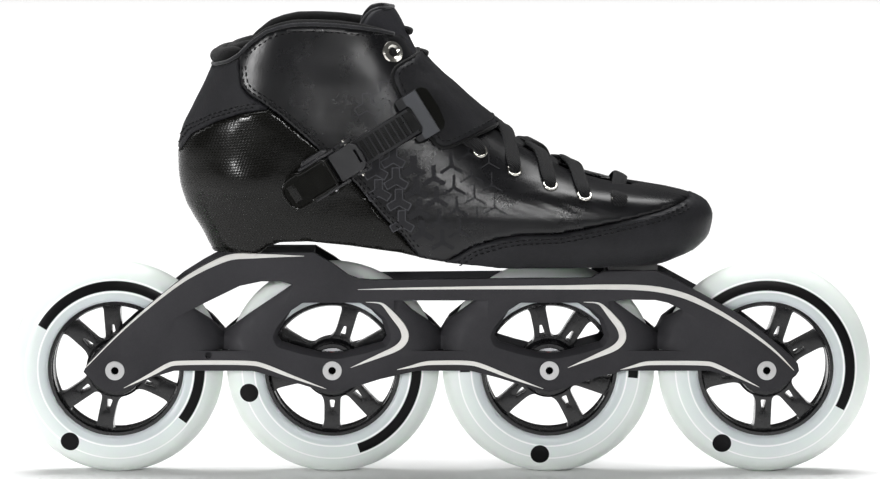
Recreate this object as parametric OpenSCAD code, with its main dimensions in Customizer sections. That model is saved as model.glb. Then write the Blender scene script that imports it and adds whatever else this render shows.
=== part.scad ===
// Inline skate, right foot: four 110 mm wheels on an aluminium frame under a laced boot.
// +X points to the toe, +Z up, and -Y is the outer side of the foot.
// The origin is on the ground, midway between the first and last axle.

/* [Wheels] */
// Diameter of a new tyre
wheel_d = 110; // [100:1:110]
// Widest part of the tyre
tyre_w = 24; // [22:0.5:24]
// Distance from the first axle to the last
wheelbase = 335; // [335:1:345]
// Outer diameter of the plastic core
hub_d = 70; // [64:1:72]
// Number of spoke pairs in a core
spoke_pairs = 3; // [3:1:4]

/* [Bearings and axles] */
// Outer diameter of a bearing
bearing_d = 22; // [22:1:22]
// Width of a bearing
bearing_w = 7; // [7:0.5:7]
// Diameter of the axle bolt
axle_d = 8; // [6:0.5:8]
// Diameter of the bolt's countersunk head
axle_head_d = 9.8; // [9.4:0.1:11]

/* [Frame] */
// Outer width of the frame at the axles
frame_w = 34; // [33:0.5:36]
// Thickness of a side wall
wall_t = 3.8; // [3.2:0.1:3.8]
// Distance between the two boot mounting bolts
mount_pitch = 195; // [180:1:200]
// Height of the rear boot platform above the ground
rear_deck_z = 116.2; // [115.5:0.1:117]
// Height of the front boot platform above the ground
front_deck_z = 106.7; // [106:0.1:107.5]

/* [Boot] */
// Thickness of the leather upper with its padding
upper_t = 6; // [5:0.5:7]
// Thickness of the ankle lining
lining_t = 4; // [3:0.5:5]
// Thickness of the tongue
tongue_t = 5.5; // [4:0.5:6]
// Thickness of the padded instep strap
cuff_t = 4.5; // [3:0.5:5]
// Diameter of the round lace hole
lace_hole_d = 4.8; // [4.4:0.1:5.2]

/* [Buckle] */
// Width of the toothed ladder strap
ladder_w = 14; // [12:0.5:14]
// Distance between two ladder teeth
tooth_pitch = 3.2; // [2.8:0.1:4]
// Slope of the ladder strap
strap_tilt = 31.5; // [30:0.5:33]

/* [Hidden] */
$fn = 48;
eps = 0.01;

wheel_r = wheel_d / 2;
axle_x = [for (i = [0:3]) -wheelbase / 2 + i * wheelbase / 3];
gap_x = [for (i = [0:2]) -wheelbase / 3 + i * wheelbase / 3];
half_w = frame_w / 2;
inner_y = half_w - wall_t;
tyre_half = tyre_w / 2;
hub_r = hub_d / 2;
bearing_r = bearing_d / 2;
ring_out_r = 9.2;
ring_in_r = 6;
ball_path_r = 7.6;
ball_r = 1.9;
rear_bolt_x = -98;
front_bolt_x = rear_bolt_x + mount_pitch;
strap_x = -59.4;
strap_y = -42.5;
strap_z = 158.7;

// ---- general helpers ----

// A slab over all Y from an outline in X and Z
module side_slab(outline, width = 220) {
  rotate([90, 0, 0])
    linear_extrude(height = width, center = true)
      polygon(outline);
}

// Turns a shape made about Z so that it lies about the axle at x
module on_axle(x) {
  translate([x, 0, wheel_r])
    rotate([90, 0, 0])
      children();
}

// Places a shape drawn as x along the strap, y across it and z away from the boot
module on_strap() {
  translate([strap_x, strap_y, strap_z])
    rotate([0, -strap_tilt, 0])
      rotate([90, 0, 0])
        children();
}

// A straight pin along the strap's cross direction
module cross_pin(u, n, r, length) {
  translate([u, length / 2, n])
    rotate([90, 0, 0])
      cylinder(r = r, h = length);
}

// Unit vector
function unit(v) = v / norm(v);

// One ring of a tube around point p, facing along d
function tube_ring(p, d, r, sides) =
  let (side = unit(cross(d, abs(d[2]) > 0.9 ? [1, 0, 0] : [0, 0, 1])), up = cross(d, side))
  [for (k = [0:sides - 1]) p + r * (cos(360 * k / sides) * side + sin(360 * k / sides) * up)];

// Round tube that follows a list of points
module tube_along(path, r, sides = 8) {
  last = len(path) - 1;
  heading = [for (i = [0:last]) unit(path[min(i + 1, last)] - path[max(i - 1, 0)])];
  rings = [for (i = [0:last]) each tube_ring(path[i], heading[i], r, sides)];
  walls = [
    for (i = [0:last - 1], k = [0:sides - 1])
      [i * sides + k, (i + 1) * sides + k, (i + 1) * sides + (k + 1) % sides, i * sides + (k + 1) % sides]
  ];
  start_cap = [for (k = [0:sides - 1]) k];
  end_cap = [for (k = [sides - 1:-1:0]) last * sides + k];
  polyhedron(points = rings, faces = concat(walls, [start_cap, end_cap]), convexity = 6);
}

// ---- boot form: level outlines stacked in Z ----

ring_n = 40;
// Back of the heel at each height
back_x = [
  [100, -100], [108.5, -108], [112, -114], [118, -118.5], [126, -122.5], [134, -127.5], [142, -131.5],
  [152, -134], [166, -135], [178, -133], [191, -127], [203, -121], [214, -116], [228, -110], [252, -102]
];
// Front of the toe and of the instep at each height
front_x = [
  [100, 92], [108.5, 104], [112, 118], [118, 130.5], [126, 137.5], [134, 139], [140, 136.5], [144, 130],
  [146.5, 121], [148.5, 110], [151, 95], [154, 82], [158, 68], [163, 56.5], [169, 45], [177, 31.5],
  [187, 18], [197, 6], [208, -6], [219, -15], [230, -21.5], [241, -27], [252, -32]
];
// Half width of the rear half of each outline
heel_half = [
  [100, 22], [108.5, 27], [112, 29.5], [118, 32.5], [126, 35], [142, 38], [158, 40.5], [175, 42.5],
  [187, 42], [208, 39.5], [228, 38], [252, 38]
];
// Half width of the front half of each outline
fore_half = [
  [100, 34], [108.5, 40], [112, 44], [118, 48], [126, 50.5], [134, 50.5], [142, 48], [148.5, 45],
  [158, 42.5], [175, 39.8], [197, 37.6], [219, 36], [252, 34]
];
// Roundness of the two halves of each outline: 1 is an ellipse, less is squarer
heel_pow = [[100, 0.85], [150, 0.8], [252, 0.75]];
fore_pow = [[100, 0.85], [150, 0.8], [175, 0.68], [200, 0.52], [252, 0.48]];

function signed_pow(v, p) = sign(v) * pow(abs(v), p);
function front_at(z, inset) =
  inset >= 0 ? min(lookup(z, front_x) - inset, lookup(z + inset, front_x))
             : max(lookup(z, front_x) - inset, lookup(z + inset, front_x));
function outline_point(z, inset, a) =
  let (
    xb = lookup(z, back_x) + inset,
    xf = front_at(z, inset),
    blend = 0.5 + 0.5 * cos(a),
    half = (1 - blend) * lookup(z, heel_half) + blend * lookup(z, fore_half) - inset,
    p = lookup(z, cos(a) < 0 ? heel_pow : fore_pow)
  )
  [(xb + xf) / 2 + (xf - xb) / 2 * signed_pow(cos(a), p), half * signed_pow(sin(a), p), z];

// Closed body between the heights in levels, inset from the outer surface
module boot_body(inset, levels) {
  last = len(levels) - 1;
  rings = [for (z = levels, k = [0:ring_n - 1]) outline_point(z, inset, 360 * k / ring_n)];
  walls = [
    for (i = [0:last - 1], k = [0:ring_n - 1])
      let (next = (k + 1) % ring_n)
      [i * ring_n + k, (i + 1) * ring_n + k, (i + 1) * ring_n + next, i * ring_n + next]
  ];
  bottom = [for (k = [0:ring_n - 1]) k];
  top = [for (k = [ring_n - 1:-1:0]) last * ring_n + k];
  polyhedron(points = rings, faces = concat(walls, [bottom, top]), convexity = 8);
}

low_levels = [104, 108.5, 112, 118, 126, 134, 140, 144, 146.5, 148.5];
high_levels = [151, 154, 158, 163, 169, 177, 187, 197, 208, 219, 230, 241];
all_levels = concat(low_levels, high_levels);
module boot_outer(inset = 0) boot_body(inset, all_levels);

// Distance from the middle to the outer surface at x and z
function surface_y(x, z) =
  let (
    xb = lookup(z, back_x),
    xf = lookup(z, front_x),
    c = max(-1, min(1, (2 * x - xb - xf) / (xf - xb))),
    p = lookup(z, c < 0 ? heel_pow : fore_pow),
    a = acos(signed_pow(c, 1 / p))
  )
  outline_point(z, 0, a)[1];
// Direction that the outer side of the boot faces at x and z
function surface_dir(x, z) =
  unit([surface_y(x - 2, z) - surface_y(x + 2, z), -4, surface_y(x, z - 2) - surface_y(x, z + 2)]);

// Underside of the sole, from the heel block over the arch to the toe
sole_line = [
  [-125, 118.5], [-118, 116.2], [-93.5, 116.2], [-88.5, 120.5], [-82, 123], [-67, 123.8], [-46, 122],
  [-21, 118.7], [-10, 116], [2, 113.6], [30, 110.5], [84, 110.5], [111, 110.5], [119, 113.5],
  [131, 118.5], [142, 128]
];
// Top of the sole, under the insole
footbed_line = [[-140, 131.5], [-60, 131.5], [-20, 127], [20, 119], [60, 117.5], [100, 118.5], [142, 126]];
// Top edge of the leather collar
collar_line = [
  [-140, 211], [-117, 212], [-104, 216.5], [-95, 225], [-88, 230], [-74, 234], [-52, 233.6],
  [-31, 230.5], [-18, 226.5], [0, 222]
];
// Seam from the collar down to the sole, in front of the heel cup
cup_line = [
  [-102, 240], [-101.5, 206], [-98, 199.5], [-90, 194], [-81, 188], [-62, 172], [-42, 153], [-31, 139],
  [-20, 127], [-12, 100]
];
// Lower edge of the leather at the back of the heel
heel_leather_line = [[-142, 163], [-127, 177.5], [-114, 184.5], [-102, 188.5], [-88, 192.5]];
// Upper edge of the toe rand
rand_line = [
  [2, 100], [9, 117], [16, 122.5], [30, 126.8], [60, 128.7], [91, 134.5], [110, 138.7], [124, 143],
  [134, 147.5], [150, 148]
];

module above_sole() side_slab(concat(sole_line, [[160, 128], [160, 270], [-160, 270], [-160, 118.5]]));
module below_collar() side_slab(concat(collar_line, [[160, 222], [160, 90], [-160, 90], [-160, 211]]));
module behind_cup() side_slab(concat(cup_line, [[-160, 100], [-160, 240]]));
module over_heel_edge() side_slab(concat(heel_leather_line, [[-88, 260], [-160, 260], [-160, 163]]));
module under_footbed() side_slab(concat(footbed_line, [[160, 126], [160, 90], [-160, 90], [-160, 131.5]]));
module rand_side() side_slab(concat(rand_line, [[160, 148], [160, 90], [2, 90]]));
module foot_space() {
  difference() {
    boot_outer(upper_t);
    under_footbed();
  }
}
module throat() {
  translate([0, 13, 0])
    rotate([90, 0, 0])
      linear_extrude(height = 26)
        polygon([[92, 138], [92, 270], [-50, 270], [-50, 200]]);
}

// ---- frame ----

frame_outline = [
  [-183.6, 54.5], [-182, 58], [-175, 66], [-164.6, 75.7], [-149, 89.7], [-133.6, 102.3], [-123, 109],
  [-113, 114.4], [-107, 116.2], [-65, 116.2], [-55.5, 110.5], [-47.5, 104.6], [-42, 102.5], [-36, 102],
  [77, 103], [83, 106.3], [86, 106.7], [110, 106.7], [115, 105.1], [138, 92.4], [153.5, 83.9],
  [169, 72], [179.4, 63], [183.5, 58.5], [184.2, 55], [182.6, 52.5], [174.4, 45.7], [167.5, 44],
  [160, 45.6], [149, 52], [138, 55], [94, 55], [80, 51.5], [64, 46], [55.8, 44], [48, 45.4],
  [30, 51.2], [15, 55], [-12, 55], [-31, 50.7], [-48, 45.4], [-55.8, 44], [-64, 45.5], [-83, 51.3],
  [-97, 55], [-137, 55], [-149, 51.4], [-160, 45.6], [-167.5, 43.8], [-175, 46], [-181, 51.5]
];
window_outline = [
  [-15, 35], [-21, 31], [-27, 21], [-28, 18], [-26, 15], [-17, 12.3], [-6, 9.5], [0, 9], [6, 9.6],
  [16, 12.2], [26, 15], [28, 18], [25.5, 26], [20, 31.5], [14.5, 35]
];
rear_gap = [
  [-136, 65.3], [-86, 65.3], [-82, 84], [-75.7, 99.5], [-82, 101.3], [-92, 101.3], [-103, 99], [-121, 90.2],
  [-136, 82.5]
];
middle_gap = [[-24, 65.3], [24, 65.3], [24, 91.4], [-24, 91.4]];
front_gap = [
  [86, 65.3], [136, 65.3], [136, 79], [124, 86.5], [116.5, 90.2], [110, 91.6], [97, 91.8], [86, 91]
];
rear_notch = [
  [-128, 87.5], [-118.5, 80.8], [-111.8, 74], [-108.5, 76.5], [-98, 84.5], [-75, 100.2], [-82, 104],
  [-104, 104], [-130, 95]
];
middle_notch = [
  [-21, 92], [-15, 86.3], [-5, 79], [0, 74], [4.5, 81], [13, 87.5], [19, 92], [19, 95], [-21, 95]
];
front_notch = [
  [88, 91.5], [102, 81], [111, 74], [114.5, 80.5], [125, 87], [125, 94], [88, 94]
];

// Space kept free round a wheel: full width to the tyre's shoulder, then rounded over the tread
module wheel_room(half, crown_r, shoulder_r) {
  steps = 6;
  rotate_extrude($fn = 96)
    polygon(concat(
      [[0, -half], [shoulder_r, -half]],
      [for (i = [1:2 * steps - 1])
        let (a = -90 + 90 * i / steps)
        [shoulder_r + (crown_r - shoulder_r) * cos(a), half * sin(a)]],
      [[shoulder_r, half], [0, half]]
    ));
}

// The web between two wheels follows the outside of both tyres and is cut to a V on top
module gap_web(i, gap, notch) {
  intersection() {
    union() {
      on_axle(axle_x[i]) wheel_room(half_w, 61, 41);
      on_axle(axle_x[i + 1]) wheel_room(half_w, 61, 41);
    }
    difference() {
      side_slab(gap, frame_w);
      side_slab(notch);
    }
  }
}

module frame() {
  hole_r = axle_d / 2;
  color([0.27, 0.27, 0.29])
  difference() {
    union() {
      difference() {
        side_slab(frame_outline, frame_w);
        cube([420, 2 * inner_y, 400], center = true);
        side_slab(rear_gap);
        side_slab(middle_gap);
        side_slab(front_gap);
        for (x = [axle_x[1], axle_x[2]])
          translate([x, 0, wheel_r])
            side_slab(window_outline);
      }
      gap_web(0, rear_gap, rear_notch);
      gap_web(1, middle_gap, middle_notch);
      gap_web(2, front_gap, front_notch);
      translate([-109, -inner_y - 1, rear_deck_z - 4.4])
        cube([44, 2 * inner_y + 2, 4.4]);
      translate([84.6, -inner_y - 1, front_deck_z - 4])
        cube([27, 2 * inner_y + 2, 4]);
      for (x = axle_x, s = [-1, 1])
        translate([x, s * (inner_y + 0.4), wheel_r])
          rotate([90, 0, 0])
            cylinder(r = 7, h = 2 * (inner_y - tyre_half) + 0.7, center = true);
    }
    for (x = axle_x)
      on_axle(x) difference() {
        wheel_room(inner_y, 57.6, 42);
        for (s = [-1, 1])
          translate([0, 0, s * inner_y])
            cylinder(r = 7, h = 2 * (inner_y - tyre_half - 0.03), center = true);
      }
    for (x = axle_x) {
      on_axle(x) cylinder(r = hole_r, h = 60, center = true);
      on_axle(x) translate([0, 0, half_w - 2.2]) cylinder(d = axle_head_d + 0.2, h = 10);
    }
    for (x = [rear_bolt_x, front_bolt_x])
      translate([x, 0, 90])
        cylinder(d = 6.4, h = 40);
    translate([-119.3, -half_w - 1, 63])
      rotate([-90, 0, 0])
        cylinder(d = 3.5, h = 4);
  }
}

module axle_bolts() {
  color([0.85, 0.85, 0.86])
  for (x = axle_x)
    on_axle(x) difference() {
      union() {
        translate([0, 0, half_w - 2.2]) cylinder(d = axle_head_d, h = 2.3);
        translate([0, 0, -half_w]) cylinder(d = axle_d, h = frame_w - 2);
      }
      translate([0, 0, half_w - 1.9]) cylinder(d = 4.2, h = 3, $fn = 6);
      translate([0, 0, half_w - 1.9]) rotate([0, 0, 30]) cylinder(d = 4.2, h = 3, $fn = 6);
    }
}

// ---- wheels ----

module ring(r_out, r_in, h) {
  difference() {
    cylinder(r = r_out, h = h, center = true);
    cylinder(r = r_in, h = h + 2, center = true);
  }
}

module bearing_spacers() {
  color([0.75, 0.76, 0.78])
  for (x = axle_x)
    on_axle(x) ring(5.6, axle_d / 2, tyre_w - 2 * bearing_w);
}

// Ball groove shared by both rings of a bearing
module ball_groove() {
  rotate_extrude()
    translate([ball_path_r, 0])
      circle(r = ball_r + 0.2, $fn = 32);
}

module at_bearings(x) {
  for (s = [-1, 1])
    on_axle(x) translate([0, 0, s * (tyre_half - bearing_w / 2)]) children();
}

module bearing_inner_rings() {
  color([0.8, 0.8, 0.82])
  for (x = axle_x)
    at_bearings(x) difference() {
      ring(ring_in_r, axle_d / 2, bearing_w);
      ball_groove();
    }
}

module outer_rings(i) {
  color([0.8, 0.8, 0.82])
  at_bearings(axle_x[i]) difference() {
    ring(bearing_r, ring_out_r, bearing_w);
    ball_groove();
  }
}

module shields(i) {
  color([0.6, 0.1, 0.08])
  for (s = [-1, 1])
    on_axle(axle_x[i]) translate([0, 0, s * (tyre_half - 0.5)]) ring(ring_out_r, ring_in_r + 0.4, 0.5);
}

module ball_cages(i) {
  balls = 7;
  color([0.7, 0.65, 0.5])
  at_bearings(axle_x[i]) {
    difference() {
      ring(ball_path_r + 0.9, ball_path_r - 0.9, 3.4);
      for (k = [0:balls - 1])
        rotate([0, 0, 360 * k / balls])
          translate([ball_path_r, 0, 0])
            sphere(r = ball_r + 0.1, $fn = 32);
    }
    for (k = [0:balls - 1])
      rotate([0, 0, 360 * k / balls])
        translate([ball_path_r, 0, 0])
          sphere(r = ball_r, $fn = 32);
  }
}

module tyre(i) {
  steps = 8;
  shoulder = 42;
  half_in = tyre_half - 1.4;
  color([0.85, 0.87, 0.86])
  on_axle(axle_x[i])
    rotate_extrude($fn = 128)
      polygon(concat(
        [[hub_r, -half_in], [shoulder - 3, -tyre_half]],
        [for (k = [0:2 * steps])
          let (a = -90 + 90 * k / steps)
          [shoulder + (wheel_r - shoulder) * cos(a), tyre_half * sin(a)]],
        [[shoulder - 3, tyre_half], [hub_r, half_in]]
      ));
}

// Turn of each wheel as it stands, in degrees about its axle
wheel_turn = [116, 51, 79, 50];
module hub(i) {
  rim_in = hub_r - 2.3;
  core_r = 13.6;
  rim_half = tyre_half - 1.4;
  color([0.13, 0.13, 0.14])
  on_axle(axle_x[i]) difference() {
    union() {
      ring(hub_r, rim_in, 2 * rim_half);
      cylinder(r = core_r, h = tyre_w, center = true);
      for (k = [0:spoke_pairs - 1], s = [-1, 1])
        rotate([0, 0, wheel_turn[i] + 360 * k / spoke_pairs + s * 22])
          translate([core_r - 2, -3.4, -6])
            cube([rim_in - core_r + 3.2, 6.8, 12]);
    }
    for (k = [0:spoke_pairs - 1], s = [-1, 1])
      rotate([0, 0, wheel_turn[i] + 360 * k / spoke_pairs + s * 22])
        translate([18, -1.1, -10])
          cube([9, 2.2, 20]);
    cylinder(r = ring_out_r, h = tyre_w + 2, center = true);
    for (s = [-1, 1])
      translate([0, 0, s * (tyre_half - bearing_w / 2)])
        cylinder(r = bearing_r, h = bearing_w + eps, center = true);
    difference() {
      cylinder(r = bearing_r - 1, h = tyre_w - 2 * bearing_w - 2, center = true);
      cylinder(r = ring_out_r, h = tyre_w, center = true);
    }
  }
}

// ---- boot mounting ----

module mount_bolts() {
  color([0.3, 0.3, 0.31])
  for (m = [[rear_bolt_x, rear_deck_z - 4.4], [front_bolt_x, front_deck_z - 4]])
    translate([m[0], 0, m[1]])
      difference() {
        union() {
          translate([0, 0, -5.2]) cylinder(d = 10, h = 4);
          translate([0, 0, -1.4]) cylinder(d = 6, h = 12.4);
        }
        translate([0, 0, -6]) cylinder(d = 4.6, h = 3.4, $fn = 6);
      }
}

module mount_washers() {
  color([0.7, 0.7, 0.72])
  for (m = [[rear_bolt_x, rear_deck_z - 4.4], [front_bolt_x, front_deck_z - 4]])
    translate([m[0], 0, m[1] - 0.6])
      ring(7, 3.2, 1.2);
}

module rear_mount_plate() {
  color([0.72, 0.72, 0.74])
  difference() {
    translate([rear_bolt_x - 9, -14, rear_deck_z]) cube([13, 28, 6]);
    translate([rear_bolt_x, 0, rear_deck_z - 1]) cylinder(d = 6, h = 10);
  }
}

module front_mount_block() {
  color([0.2, 0.2, 0.19])
  difference() {
    union() {
      translate([86, -15.5, front_deck_z]) cube([25, 31, 3.8]);
      translate([front_bolt_x - 9, -12, front_deck_z + 3.8 - eps]) cube([18, 24, 3.2]);
    }
    translate([front_bolt_x, 0, front_deck_z - 1]) cylinder(d = 6, h = 12);
  }
}

// ---- boot ----

module shell() {
  color([0.2, 0.2, 0.18])
  difference() {
    union() {
      intersection() {
        boot_outer();
        difference() {
          behind_cup();
          over_heel_edge();
        }
      }
      intersection() {
        boot_outer();
        under_footbed();
      }
      on_strap() translate([-3, 0, -8]) cylinder(r = 8, h = 8);
    }
    side_slab(concat(sole_line, [[160, 128], [160, 90], [-160, 90], [-160, 118.5]]));
    foot_space();
    rand_side_layer();
    translate([rear_bolt_x - 9, -14, rear_deck_z - 1]) cube([13, 28, 7]);
    translate([rear_bolt_x, 0, rear_deck_z]) cylinder(d = 6.4, h = 9);
    translate([front_bolt_x - 9, -12, front_deck_z]) cube([18, 24, 7]);
    translate([front_bolt_x, 0, front_deck_z]) cylinder(d = 6.4, h = 8);
    on_strap() translate([-3, 0, -7]) cylinder(d = 4, h = 20);
  }
}

// The leather upper with its lace holes, before it is parted into the vamp and two quarters
module leather_upper() {
  difference() {
    intersection() {
      boot_outer();
      above_sole();
      below_collar();
    }
    behind_cup();
    foot_space();
    rand_side_layer();
    under_footbed();
    throat();
    for (p = eyelet_spots, s = [-1, 1])
      at_surface(p[0], p[1], s) cylinder(d = lace_hole_d + 1, h = 40, center = true);
    for (s = [-1, 1])
      at_surface(ankle_eyelet[0], ankle_eyelet[1], s) cylinder(d = 6.4, h = 40, center = true);
    at_surface(anchor_spot[0], anchor_spot[1], 1) cylinder(r = 2.1, h = 40, center = true);
  }
}

vamp_x = 99;
module quarter(s) {
  color([0.33, 0.33, 0.34])
  intersection() {
    leather_upper();
    translate([vamp_x - 300, s < 0 ? -100 : 0, 90]) cube([300, 100, 170]);
  }
}
module quarter_outer() quarter(-1);
module quarter_inner() quarter(1);

module vamp() {
  color([0.31, 0.31, 0.32])
  intersection() {
    leather_upper();
    translate([vamp_x, -100, 90]) cube([100, 200, 170]);
  }
}

module rand_side_layer() {
  difference() {
    intersection() {
      boot_outer();
      rand_side();
    }
    boot_outer(3);
  }
}

module toe_rand() {
  color([0.3, 0.3, 0.31])
  intersection() {
    rand_side_layer();
    above_sole();
  }
}

module heel_panel() {
  color([0.36, 0.36, 0.38])
  difference() {
    intersection() {
      boot_outer();
      behind_cup();
      over_heel_edge();
      below_collar();
    }
    foot_space();
  }
}

module ankle_lining() {
  color([0.2, 0.2, 0.2])
  difference() {
    intersection() {
      boot_outer(upper_t);
      below_collar();
      side_slab([[-140, 140], [-48, 140], [-48, 240], [-140, 240]]);
    }
    boot_outer(upper_t + lining_t);
  }
}

module heel_roll() {
  roll = [
    [-118, 212.4], [-115.5, 219], [-109, 224], [-101, 226.5], [-94, 227], [-95, 225.4],
    [-104, 216.9], [-116.5, 212.4]
  ];
  color([0.2, 0.2, 0.2])
  difference() {
    intersection() {
      boot_outer(-1.5);
      side_slab(roll);
    }
    boot_outer(upper_t + lining_t);
  }
}

module insole() {
  thick = 4;
  color([0.25, 0.25, 0.26])
  difference() {
    intersection() {
      boot_outer(upper_t + 0.6);
      translate([0, 0, thick]) under_footbed();
    }
    under_footbed();
  }
}

// The tongue lies against the inside of the upper and stands out above the collar
module tongue() {
  reach = [
    [88, 128], [88, 170], [-8, 252], [-46, 244], [-46, 232], [-32, 222], [-32, 196], [20, 150], [50, 135]
  ];
  color([0.3, 0.3, 0.31])
  difference() {
    intersection() {
      boot_outer(upper_t);
      side_slab(reach, 44);
    }
    boot_outer(upper_t + tongue_t);
  }
}

eyelet_spots = [[90, 145.5], [72.6, 147.5], [55.3, 152.4], [37.2, 160.1], [19.7, 169.9]];
ankle_eyelet = [-24.5, 220];
anchor_spot = [-6, 190];

// Places a shape on the boot's side at x and z; s is -1 on the outer side and 1 on the inner
module at_surface(x, z, s) {
  d = surface_dir(x, z);
  mirror([0, s > 0 ? 1 : 0, 0])
    translate([x, -surface_y(x, z), z])
      rotate([0, acos(d[2]), atan2(d[1], d[0])])
        children();
}

module eyelet(flange_d, hole_d, length) {
  rotate_extrude()
    polygon([
      [hole_d / 2, -length], [hole_d / 2 + 0.5, -length], [hole_d / 2 + 0.5, 0.1], [flange_d / 2, 0.1],
      [flange_d / 2 - 0.4, 0.9], [hole_d / 2, 0.6]
    ]);
}

module lace_eyelets() {
  color([0.85, 0.85, 0.85])
  for (p = eyelet_spots, s = [-1, 1])
    at_surface(p[0], p[1], s) eyelet(8.4, lace_hole_d, upper_t);
}

module ankle_eyelets() {
  color([0.85, 0.85, 0.85])
  for (s = [-1, 1])
    at_surface(ankle_eyelet[0], ankle_eyelet[1], s)
      rotate_extrude()
        polygon([[2.25, -5.8], [3.15, -5.8], [3.15, 0.2], [5.9, 0.2], [5.4, 1.1], [3.6, 1.4], [2.25, 0.6]]);
}

// The lace crosses over the tongue at each row and runs on inside the upper to the next row
lace_r = 1.9;
row_count = len(eyelet_spots);
function hole_at(row, s, out) =
  let (p = eyelet_spots[row], d = surface_dir(p[0], p[1]), y = surface_y(p[0], p[1]))
  [p[0] + out * d[0], s * (y - out * d[1]), p[1] + out * d[2]];
function bar_height(row) = front_height(eyelet_spots[row][0] + 3) + lace_r + 0.8;
function front_height(x) = lookup(-x, [for (p = front_x) if (p[0] >= 134) [-p[1], p[0]]]);
function bar(row, s) =
  [for (t = [-0.8:0.32:0.8])
    let (p = eyelet_spots[row], y = surface_y(p[0], p[1]))
    [p[0] + 3 * (1 - t * t), s * t * y, p[1] + (bar_height(row) - p[1]) * sqrt(1 - t * t * 0.72)]];
function lace_row(row) =
  let (s = row % 2 == 0 ? 1 : -1)
  concat([hole_at(row, -s, -9), hole_at(row, -s, 3.4)], bar(row, s), [hole_at(row, s, 3.4), hole_at(row, s, -9)]);
lace_path = concat(
  [for (row = [0:row_count - 2]) each lace_row(row)],
  [hole_at(row_count - 1, -1, -9), hole_at(row_count - 1, -1, 2.5)]
);

module laces() {
  color([0.22, 0.22, 0.23])
  tube_along(lace_path, lace_r);
}

module instep_strap() {
  cuff = [
    [-25, 209], [-20, 213.5], [-12, 215.5], [0, 217], [60, 195], [42, 177], [31, 180.5], [13, 174.5],
    [1.5, 171], [-6, 177], [-22, 199]
  ];
  color([0.3, 0.3, 0.31])
  difference() {
    intersection() {
      boot_outer(-cuff_t);
      side_slab(cuff);
    }
    boot_outer();
    at_surface(anchor_spot[0], anchor_spot[1], 1) {
      cylinder(r = 2.1, h = 20, center = true);
      translate([0, 0, cuff_t - 0.6]) cylinder(r = 5.2, h = 9);
    }
  }
}

module strap_anchor_screw() {
  color([0.8, 0.8, 0.8])
  at_surface(anchor_spot[0], anchor_spot[1], 1) {
    translate([0, 0, cuff_t - 0.6]) cylinder(r = 5, h = 1.6);
    translate([0, 0, -5]) cylinder(r = 2, h = cuff_t + 5);
  }
}

// ---- buckle and ladder strap ----

pin_u = 57;
module ladder_strap() {
  first = -14;
  last = 58.5;
  color([0.16, 0.16, 0.17])
  on_strap() difference() {
    union() {
      translate([first, -ladder_w / 2, 1.4]) cube([last - first, ladder_w, 1.1]);
      for (s = [-1, 1])
        translate([first, s * (ladder_w / 2 - 0.8) - 0.8, 1.4]) cube([last - first - 5, 1.6, 2]);
      for (k = [0:19])
        translate([first + 2 + k * tooth_pitch, -ladder_w / 2 + 1, 1.4]) cube([1.2, ladder_w - 2, 2]);
      cross_pin(pin_u, 2.6, 2.2, ladder_w);
    }
    cross_pin(pin_u, 2.6, 1.1, ladder_w + 4);
  }
}

module bracket_pin() {
  color([0.8, 0.8, 0.82])
  on_strap() cross_pin(pin_u, 2.6, 1.1, 22);
}

module strap_bracket() {
  color([0.48, 0.49, 0.51])
  on_strap() difference() {
    translate([50, -11, 0.9]) cube([18, 24, 4.3]);
    translate([49, -7.6, -1]) cube([10.6, 15.2, 8]);
    cross_pin(pin_u, 2.6, 1.1, 40);
    translate([64, -12, 3.9]) cube([5, 26, 3]);
  }
}

module buckle_base() {
  color([0.42, 0.42, 0.44])
  on_strap() difference() {
    union() {
      translate([-9, -9.4, 0]) cube([32, 18.8, 1.2]);
      for (s = [-1, 1])
        translate([-9, s * 8.65 - 0.75, 0]) cube([20.5, 1.5, 8.2]);
      for (s = [-1, 1])
        translate([15.5, s * 8.65 - 0.75, 0]) cube([5.5, 1.5, 6.8]);
    }
    translate([-3, 0, -1]) cylinder(d = 4, h = 4);
    translate([-3, 0, 0.6]) cylinder(d = 8, h = 4);
    cross_pin(2.5, 6.3, 1.1, 30);
    cross_pin(9.8, 6, 1, 30);
    cross_pin(18, 5, 1, 30);
  }
}

module buckle_screw() {
  color([0.8, 0.8, 0.82])
  on_strap() translate([-3, 0, 0]) {
    translate([0, 0, 0.6]) cylinder(d = 7.9, h = 0.6);
    translate([0, 0, -6]) cylinder(d = 4, h = 6.6 + eps);
  }
}

module lever_pin() {
  color([0.8, 0.8, 0.82])
  on_strap() cross_pin(2.5, 6.3, 1.1, 20);
}

module release_pin() {
  color([0.8, 0.8, 0.82])
  on_strap() cross_pin(9.8, 6, 1, 20);
}

module guide_pin() {
  color([0.8, 0.8, 0.82])
  on_strap() cross_pin(18, 5, 1, 21);
}

module buckle_lever() {
  color([0.14, 0.14, 0.13])
  on_strap() difference() {
    union() {
      translate([0, 0, 7.8])
        linear_extrude(height = 2)
          polygon([
            [5.4, -7.5], [5.4, 7.5], [-9.4, 7.5], [-10, 8.6], [-17, 8.2], [-20.5, 6], [-22, 2.5], [-21.5, -4.5],
            [-19, -8.2], [-10, -8.6], [-9.4, -7.5]
          ]);
      for (s = [-1, 1])
        translate([-9.2, s * 6.7 - 0.8, 5.4]) cube([11.7, 1.6, 2.5]);
      cross_pin(2.5, 6.3, 2.6, 15);
    }
    cross_pin(2.5, 6.3, 1.2, 30);
    cross_pin(2.5, 6.3, 3, 5);
    translate([-18.5, -4.5, 7]) cube([4, 9, 4]);
  }
}

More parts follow.
